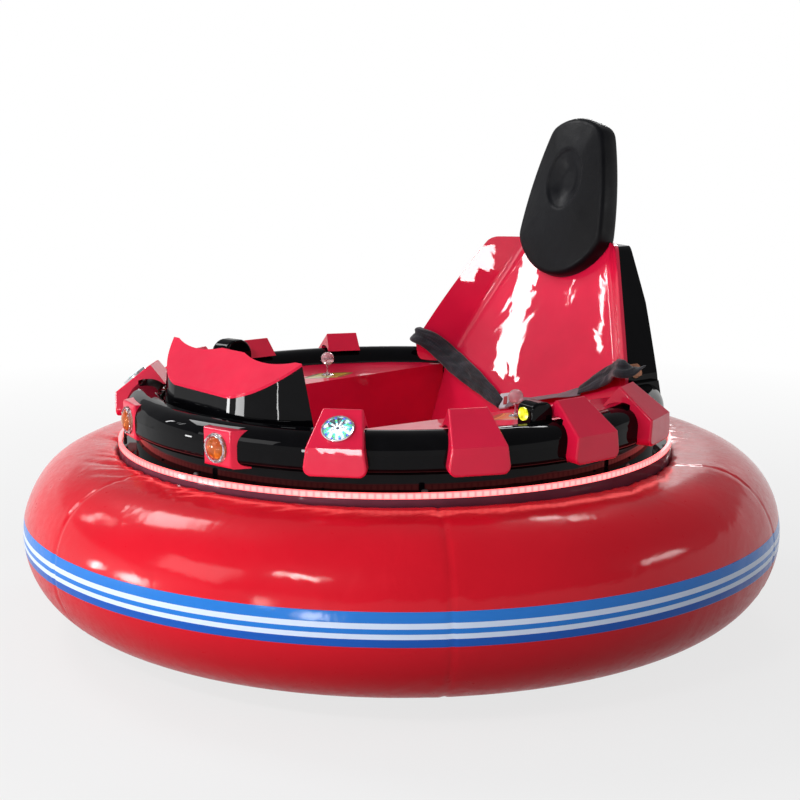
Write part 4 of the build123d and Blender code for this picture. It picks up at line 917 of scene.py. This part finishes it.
def knobs():
    """Finish of the sticks' balls, and a collar round each stick's foot."""
    dress(KNOB, "joystick_knobs")
    collar = [mm(10.2, 0.3), mm(17, 0.3), mm(17, 2), mm(13, 4.5), mm(10.2, 5.5)]
    boots = Shape()
    for side in (1, -1):
        boots.loop(collar, 40, Matrix.Translation((side * STICK_X, STICK_Y, CONSOLE_TOP)))
    boots.made("joystick_boots", CHROME, "chrome")


# ---- fasteners and running gear
RIM_SCREWS, STRIP_CLIPS = 24, 8
SCREW_INSET, CLIP_INSET, CLIP_LIFT = mm(17, 14, 9)
TREAD_BLOCKS, TREAD_PITCH, TREAD_SINK = 40, 14 * MM, 0.8 * MM
HUB_BOLTS, HUB_BOLT_R, HUB_FACE = 6, 36 * MM, 5 * MM
FINS, FIRST_FIN, FIN_PITCH = 7, 16 * MM, 8 * MM
CASTER_BOLT_HALF, CASTER_BOLT_DROP = mm(40, 6)
POST_X = 110 * MM
ANCHOR_INSET, ANCHOR_DROP = mm(12, 4)
D_RING_R, D_RING_WIRE, D_RING_LIFT = mm(15, 2.6, 3)  # ring round each belt anchor's bolt
SOCKET_SCREW_R = 24.5 * MM


def rim_screws():
    """Screws that hold the rim to the tub, and small clips for the lamp strip's lead."""
    screws, clips = Shape(), Shape()
    for turn in turns(RIM_SCREWS, math.pi / RIM_SCREWS):
        spot = Vector(polar(FLANGE_R - SCREW_INSET, turn)) + Vector((0, BODY_Y, FLANGE_TOP))
        screws.bolt(*mm(3.2, 2.6), facing(spot, UP, (0, 1, 0)), 24)
    for turn in turns(STRIP_CLIPS, math.radians(-33)):
        out = Vector(polar(1, turn))
        spot = out * (FLANGE_R - CLIP_INSET) + Vector((0, BODY_Y, FLANGE_TOP + CLIP_LIFT))
        clips.block(mm(14, 8, 18), facing(spot, UP, out), 2 * MM)
    screws.made("rim_screws", PLASTIC, "black_plastic")
    clips.made("strip_clips", PLASTIC, "black_plastic")


def drive_wheel(side, tag):
    """Tread blocks and hub bolts, which turn with the wheel, and the fins of its motor."""
    low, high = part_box(tag + "_drive_tyre")
    centre, radius = (low + high) / 2, (high.z - low.z) / 2
    tread, bolts, fins = Shape(), Shape(), Shape()
    for k in range(TREAD_BLOCKS):
        for row in (-1, 0, 1):
            turn = TAU * (k + 0.5 * (row % 2)) / TREAD_BLOCKS
            out = Vector((0, math.cos(turn), math.sin(turn)))
            spot = centre + out * (radius - TREAD_SINK) + Vector((row * TREAD_PITCH, 0, 0))
            tread.block(mm(11, 13, 2.2), facing(spot, out, (1, 0, 0)), 0.8 * MM)
    tread.made(tag + "_tyre_tread", TYRE, "tyre", tag + "_drive_wheel")
    for turn in turns(HUB_BOLTS, math.pi / HUB_BOLTS):
        y, z, _ = polar(HUB_BOLT_R, turn)
        bolts.bolt(*mm(4, 5), facing(centre + Vector((side * HUB_FACE, y, z)), (side, 0, 0)))
    bolts.made(tag + "_hub_bolts", ZINC, "zinc_steel", tag + "_drive_wheel")
    inner = min(abs(corner.x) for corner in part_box(tag + "_drive_unit"))
    fin = [mm(37.5, -1.5), mm(41, -1.2), mm(41, 1.2), mm(37.5, 1.5)]
    for k in range(FINS):
        spot = (side * (inner + FIRST_FIN + FIN_PITCH * k), centre.y, centre.z)
        fins.loop(fin, 48, facing(spot, (side, 0, 0)))
    fins.made(tag + "_motor_fins", ALUMINIUM, "motor_metal")


def running_gear():
    """Small parts of the wheels, the casters and the battery."""
    drive_wheel(1, "left")
    drive_wheel(-1, "right")
    for tag in ("front", "rear"):
        centre = middle_of(tag + "_caster_plate")
        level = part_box(tag + "_caster_plate")[1].z - CASTER_BOLT_DROP
        bolts = Shape()
        for x, y in ((-1, -1), (-1, 1), (1, -1), (1, 1)):
            bolts.bolt(*mm(4.5, 5.5), facing((centre.x + x * CASTER_BOLT_HALF,
                                              centre.y + y * CASTER_BOLT_HALF, level), -UP))
        bolts.made(tag + "_caster_bolts", ZINC, "zinc_steel")
    post = [mm(9, -1), mm(9, 12), mm(7.5, 14)]
    posts = Shape()
    for x in (-POST_X, POST_X):
        posts.lathe(post, 24, Matrix.Translation(
            (x, middle_of("battery").y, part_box("battery")[1].z)))
    posts.made("battery_posts", ZINC, "zinc_steel")


def small_parts():
    """Belt anchor bolts with their D-rings, the valve's grip and the socket's trim."""
    wire = [(D_RING_R + D_RING_WIRE * math.cos(a), D_RING_LIFT + D_RING_WIRE * math.sin(a))
            for a in turns(12)]
    bolts = Shape()
    centre, outer = middle_of("belt_brackets"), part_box("belt_brackets")[1].x
    for side in (1, -1):
        spot = (side * (outer - ANCHOR_INSET), centre.y, centre.z - ANCHOR_DROP)
        place = facing(spot, (side, -0.15, 0.25))
        bolts.bolt(*mm(6, 7), place)
        bolts.loop(wire, 40, place)
    bolts.made("belt_anchor_bolts", BRONZE, "bronze_plate")

    centre, foot = middle_of("tube_valve"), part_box("tube_valve")[0].z
    ring = Shape().loop([mm(14.3, 3.2), mm(15.4, 4.5), mm(15.4, 9), mm(14.3, 10.5)], 36,
                        Matrix.Translation((centre.x, centre.y, foot)))
    ring.made("valve_grip", PLASTIC, "black_plastic")

    low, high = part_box("charge_socket")
    place = facing((0, high.y, (low.z + high.z) / 2), (0, 1, 0))
    trim = Shape().loop([mm(18, -0.2), mm(22, -0.2), mm(21.5, 2.2), mm(18.4, 2.2)], 48, place)
    for turn in turns(3):
        spot = place @ Vector(polar(SOCKET_SCREW_R, turn))
        trim.bolt(*mm(1.6, 1.6), facing(spot, (0, 1, 0)), 24)
    trim.made("socket_trim", ZINC, "zinc_steel")


# ---- studio
FLOOR_R, CURVE_R, WALL_TOP = 12.0, 2.0, 4.4
NEAR, FAR = 1.3, 4.5  # where the floor starts to turn white, and where it is
NEAR_SHARE = 0.76  # how much of it is plain white before that
LAMPS = (  # name, place, target, up, width, height, power
    ("key", (1.6, -3.7, 3.0), (0, 0, 0.5), UP, 0.95, 0.24, 52),
    ("seat_bar", (-3.52, -2.22, 2.45), (-0.13, 0.52, 0.73), (0.01, 0.29, 0.62), 0.12, 0.78, 9),
    ("seat_streak", (-3.0, -2.3, 2.68), (0.17, 0.55, 0.78), (-0.08, 0.27, 0.51), 0.02, 0.62, 1.3),
    ("seat_thread", (-3.22, -2.2, 2.75), (0.1, 0.57, 0.85), (-0.08, 0.27, 0.51), 0.012, 0.35, 0.4),
    ("wing_window", (1.5, -2.4, 0.27), (-0.28, 0.5, 0.8), UP, 0.34, 0.3, 11),
    ("tube_spot", (-1.78, -2.91, 0.5), (0.12, -0.6, 0.5), UP, 0.2, 0.26, 9),
    ("hood_window", (-1.05, -3.33, 0.5), (0.16, -0.6, 0.63), UP, 0.6, 0.36, 26),
    ("hood_streak", (1.19, -3.4, 0.64), (0.24, -0.55, 0.67), UP, 0.06, 0.55, 6),
    ("left_fill", (-3.3, -1.4, 4.3), (0, 0, 0.6), UP, 1.7, 1.3, 86),
    ("top_strip", (-1.2, 2.4, 3.3), (0, 0, 0.4), (0, 1, 0), 2.2, 0.1, 16),
    ("right_window", (3.4, 2.6, 2.0), (0, 0, 0.5), UP, 1.1, 0.25, 15),
    ("back_window", (-2.6, 3.5, 2.3), (0, 0, 0.5), UP, 1.1, 0.5, 30),
    ("front_fill", (-0.6, -4.7, 2.6), (0, 0, 0.4), UP, 1.9, 1.4, 34),
)


def floor_paint():
    """Matt grey that shadows fall on, shown mostly white, and all white far off."""
    paint = Surface("studio_paint", Roughness=0.95, Specular_IOR_Level=0.1)
    paint.set(Base_Color=paint.span(paint.noise(0.6), 0.3, 0.7, (0.46, 0.46, 0.46, 1),
                                    (0.5, 0.5, 0.5, 1)))
    rays = paint.new("ShaderNodeLightPath").outputs
    seen = paint.maths("MAXIMUM", rays["Is Camera Ray"], paint.maths(
        "MAXIMUM", rays["Is Glossy Ray"], rays["Is Transmission Ray"]))
    x, y, _ = paint.split(paint.place)
    whiteness = paint.span(paint.away(x, y), NEAR, FAR, NEAR_SHARE, 1.0)
    white = paint.new("ShaderNodeEmission").outputs[0]
    blend = paint.new("ShaderNodeMixShader")
    paint.feed(blend.inputs, paint.maths("MULTIPLY", seen, whiteness), paint.shader.outputs[0],
               white)
    paint.wire(blend.outputs[0], paint.tree.nodes["Material Output"].inputs["Surface"])
    return paint.material


def floor():
    """Plain pale floor that curves up into a pale wall."""
    profile = [(r, 0.0) for r in (0.001, 2.0, 5.0, 9.0, FLOOR_R)]
    profile += [(FLOOR_R + CURVE_R * math.sin(a), CURVE_R - CURVE_R * math.cos(a))
                for a in quarter(10)[1:]]
    profile.append((FLOOR_R + CURVE_R, WALL_TOP))
    segments = 96
    points = [polar(r, turn, h) for r, h in profile for turn in turns(segments)]
    mesh = bpy.data.meshes.new("studio_floor")
    mesh.from_pydata(points, [], grid_faces(len(profile), segments)
                     + [tuple(reversed(range(segments)))])
    mesh.shade_smooth()
    mesh.materials.append(floor_paint())
    in_scene("studio_floor", mesh)


def light():
    """A grey sky and soft lamps."""
    world = bpy.data.worlds.new("studio_sky")
    world.use_nodes = True
    sky = world.node_tree.nodes["Background"].inputs["Color"]
    sky.default_value = (0.3, 0.3, 0.31, 1)
    bpy.context.scene.world = world
    for name, place, target, up, width, height, power in LAMPS:
        lamp = bpy.data.lights.new(name, "AREA")
        lamp.shape = "RECTANGLE"
        lamp.size, lamp.size_y = width, height
        lamp.energy = power
        in_scene(name, lamp).matrix_world = facing(place, Vector(place) - Vector(target), up)


CAMERA_AT, CAMERA_TARGET = Vector((2.8429, -2.2604, 1.2053)), Vector((0, 0, 0.4))
FOCAL_LENGTH, SENSOR_WIDTH = 63.36, 36.0  # millimetres, as Blender takes them
SHIFT_X, SHIFT_Y = -0.002, 0.067  # the photograph's framing


def camera():
    """A camera at the photograph's viewing angle."""
    view = bpy.data.cameras.new("camera")
    view.lens, view.sensor_width = FOCAL_LENGTH, SENSOR_WIDTH
    view.shift_x, view.shift_y = SHIFT_X, SHIFT_Y
    eye = in_scene("camera", view)
    eye.matrix_world = facing(CAMERA_AT, CAMERA_AT - CAMERA_TARGET)
    bpy.context.scene.camera = eye
    bpy.context.scene.view_settings.view_transform = "Standard"


# ---- the car
inflated_tube()
headrest()
belt()
headlamps()
lug_lights()
side_lamps()
decals()
knobs()
rim_screws()
running_gear()
small_parts()

dress(led_sleeve(), "led_strip")
dress(rim_skin(), "rim_flange")
dress(BLACK, "coaming_ring", "hood_base", "seat_shell")
dress(RED, "cockpit_floor", "seat_pan")
dress(RED_SEAT, "seat_back")
dress(RED_SATIN, "hood_top")
dress(TUB, "lower_tub")
dress(PLASTIC, "tube_valve", "charge_socket")
dress(BRONZE, "belt_brackets")
dress(STEEL_BLACK, "frame_rails", "frame_crossbars")
dress(CASE, "battery")
for side_tag in ("left", "right"):
    dress(RED, side_tag + "_lugs", side_tag + "_headlamp", side_tag + "_console")
    dress(BLACK, side_tag + "_side_lamp")
    dress(CHROME, side_tag + "_joystick")
    dress(ALUMINIUM, side_tag + "_drive_unit", side_tag + "_drive_hub")
    dress(TYRE, side_tag + "_drive_tyre")
for end_tag in ("front", "rear"):
    dress(ZINC, end_tag + "_caster_plate", end_tag + "_caster_fork")
    dress(GREY_RUBBER, end_tag + "_caster_wheel")

floor()
light()
camera()
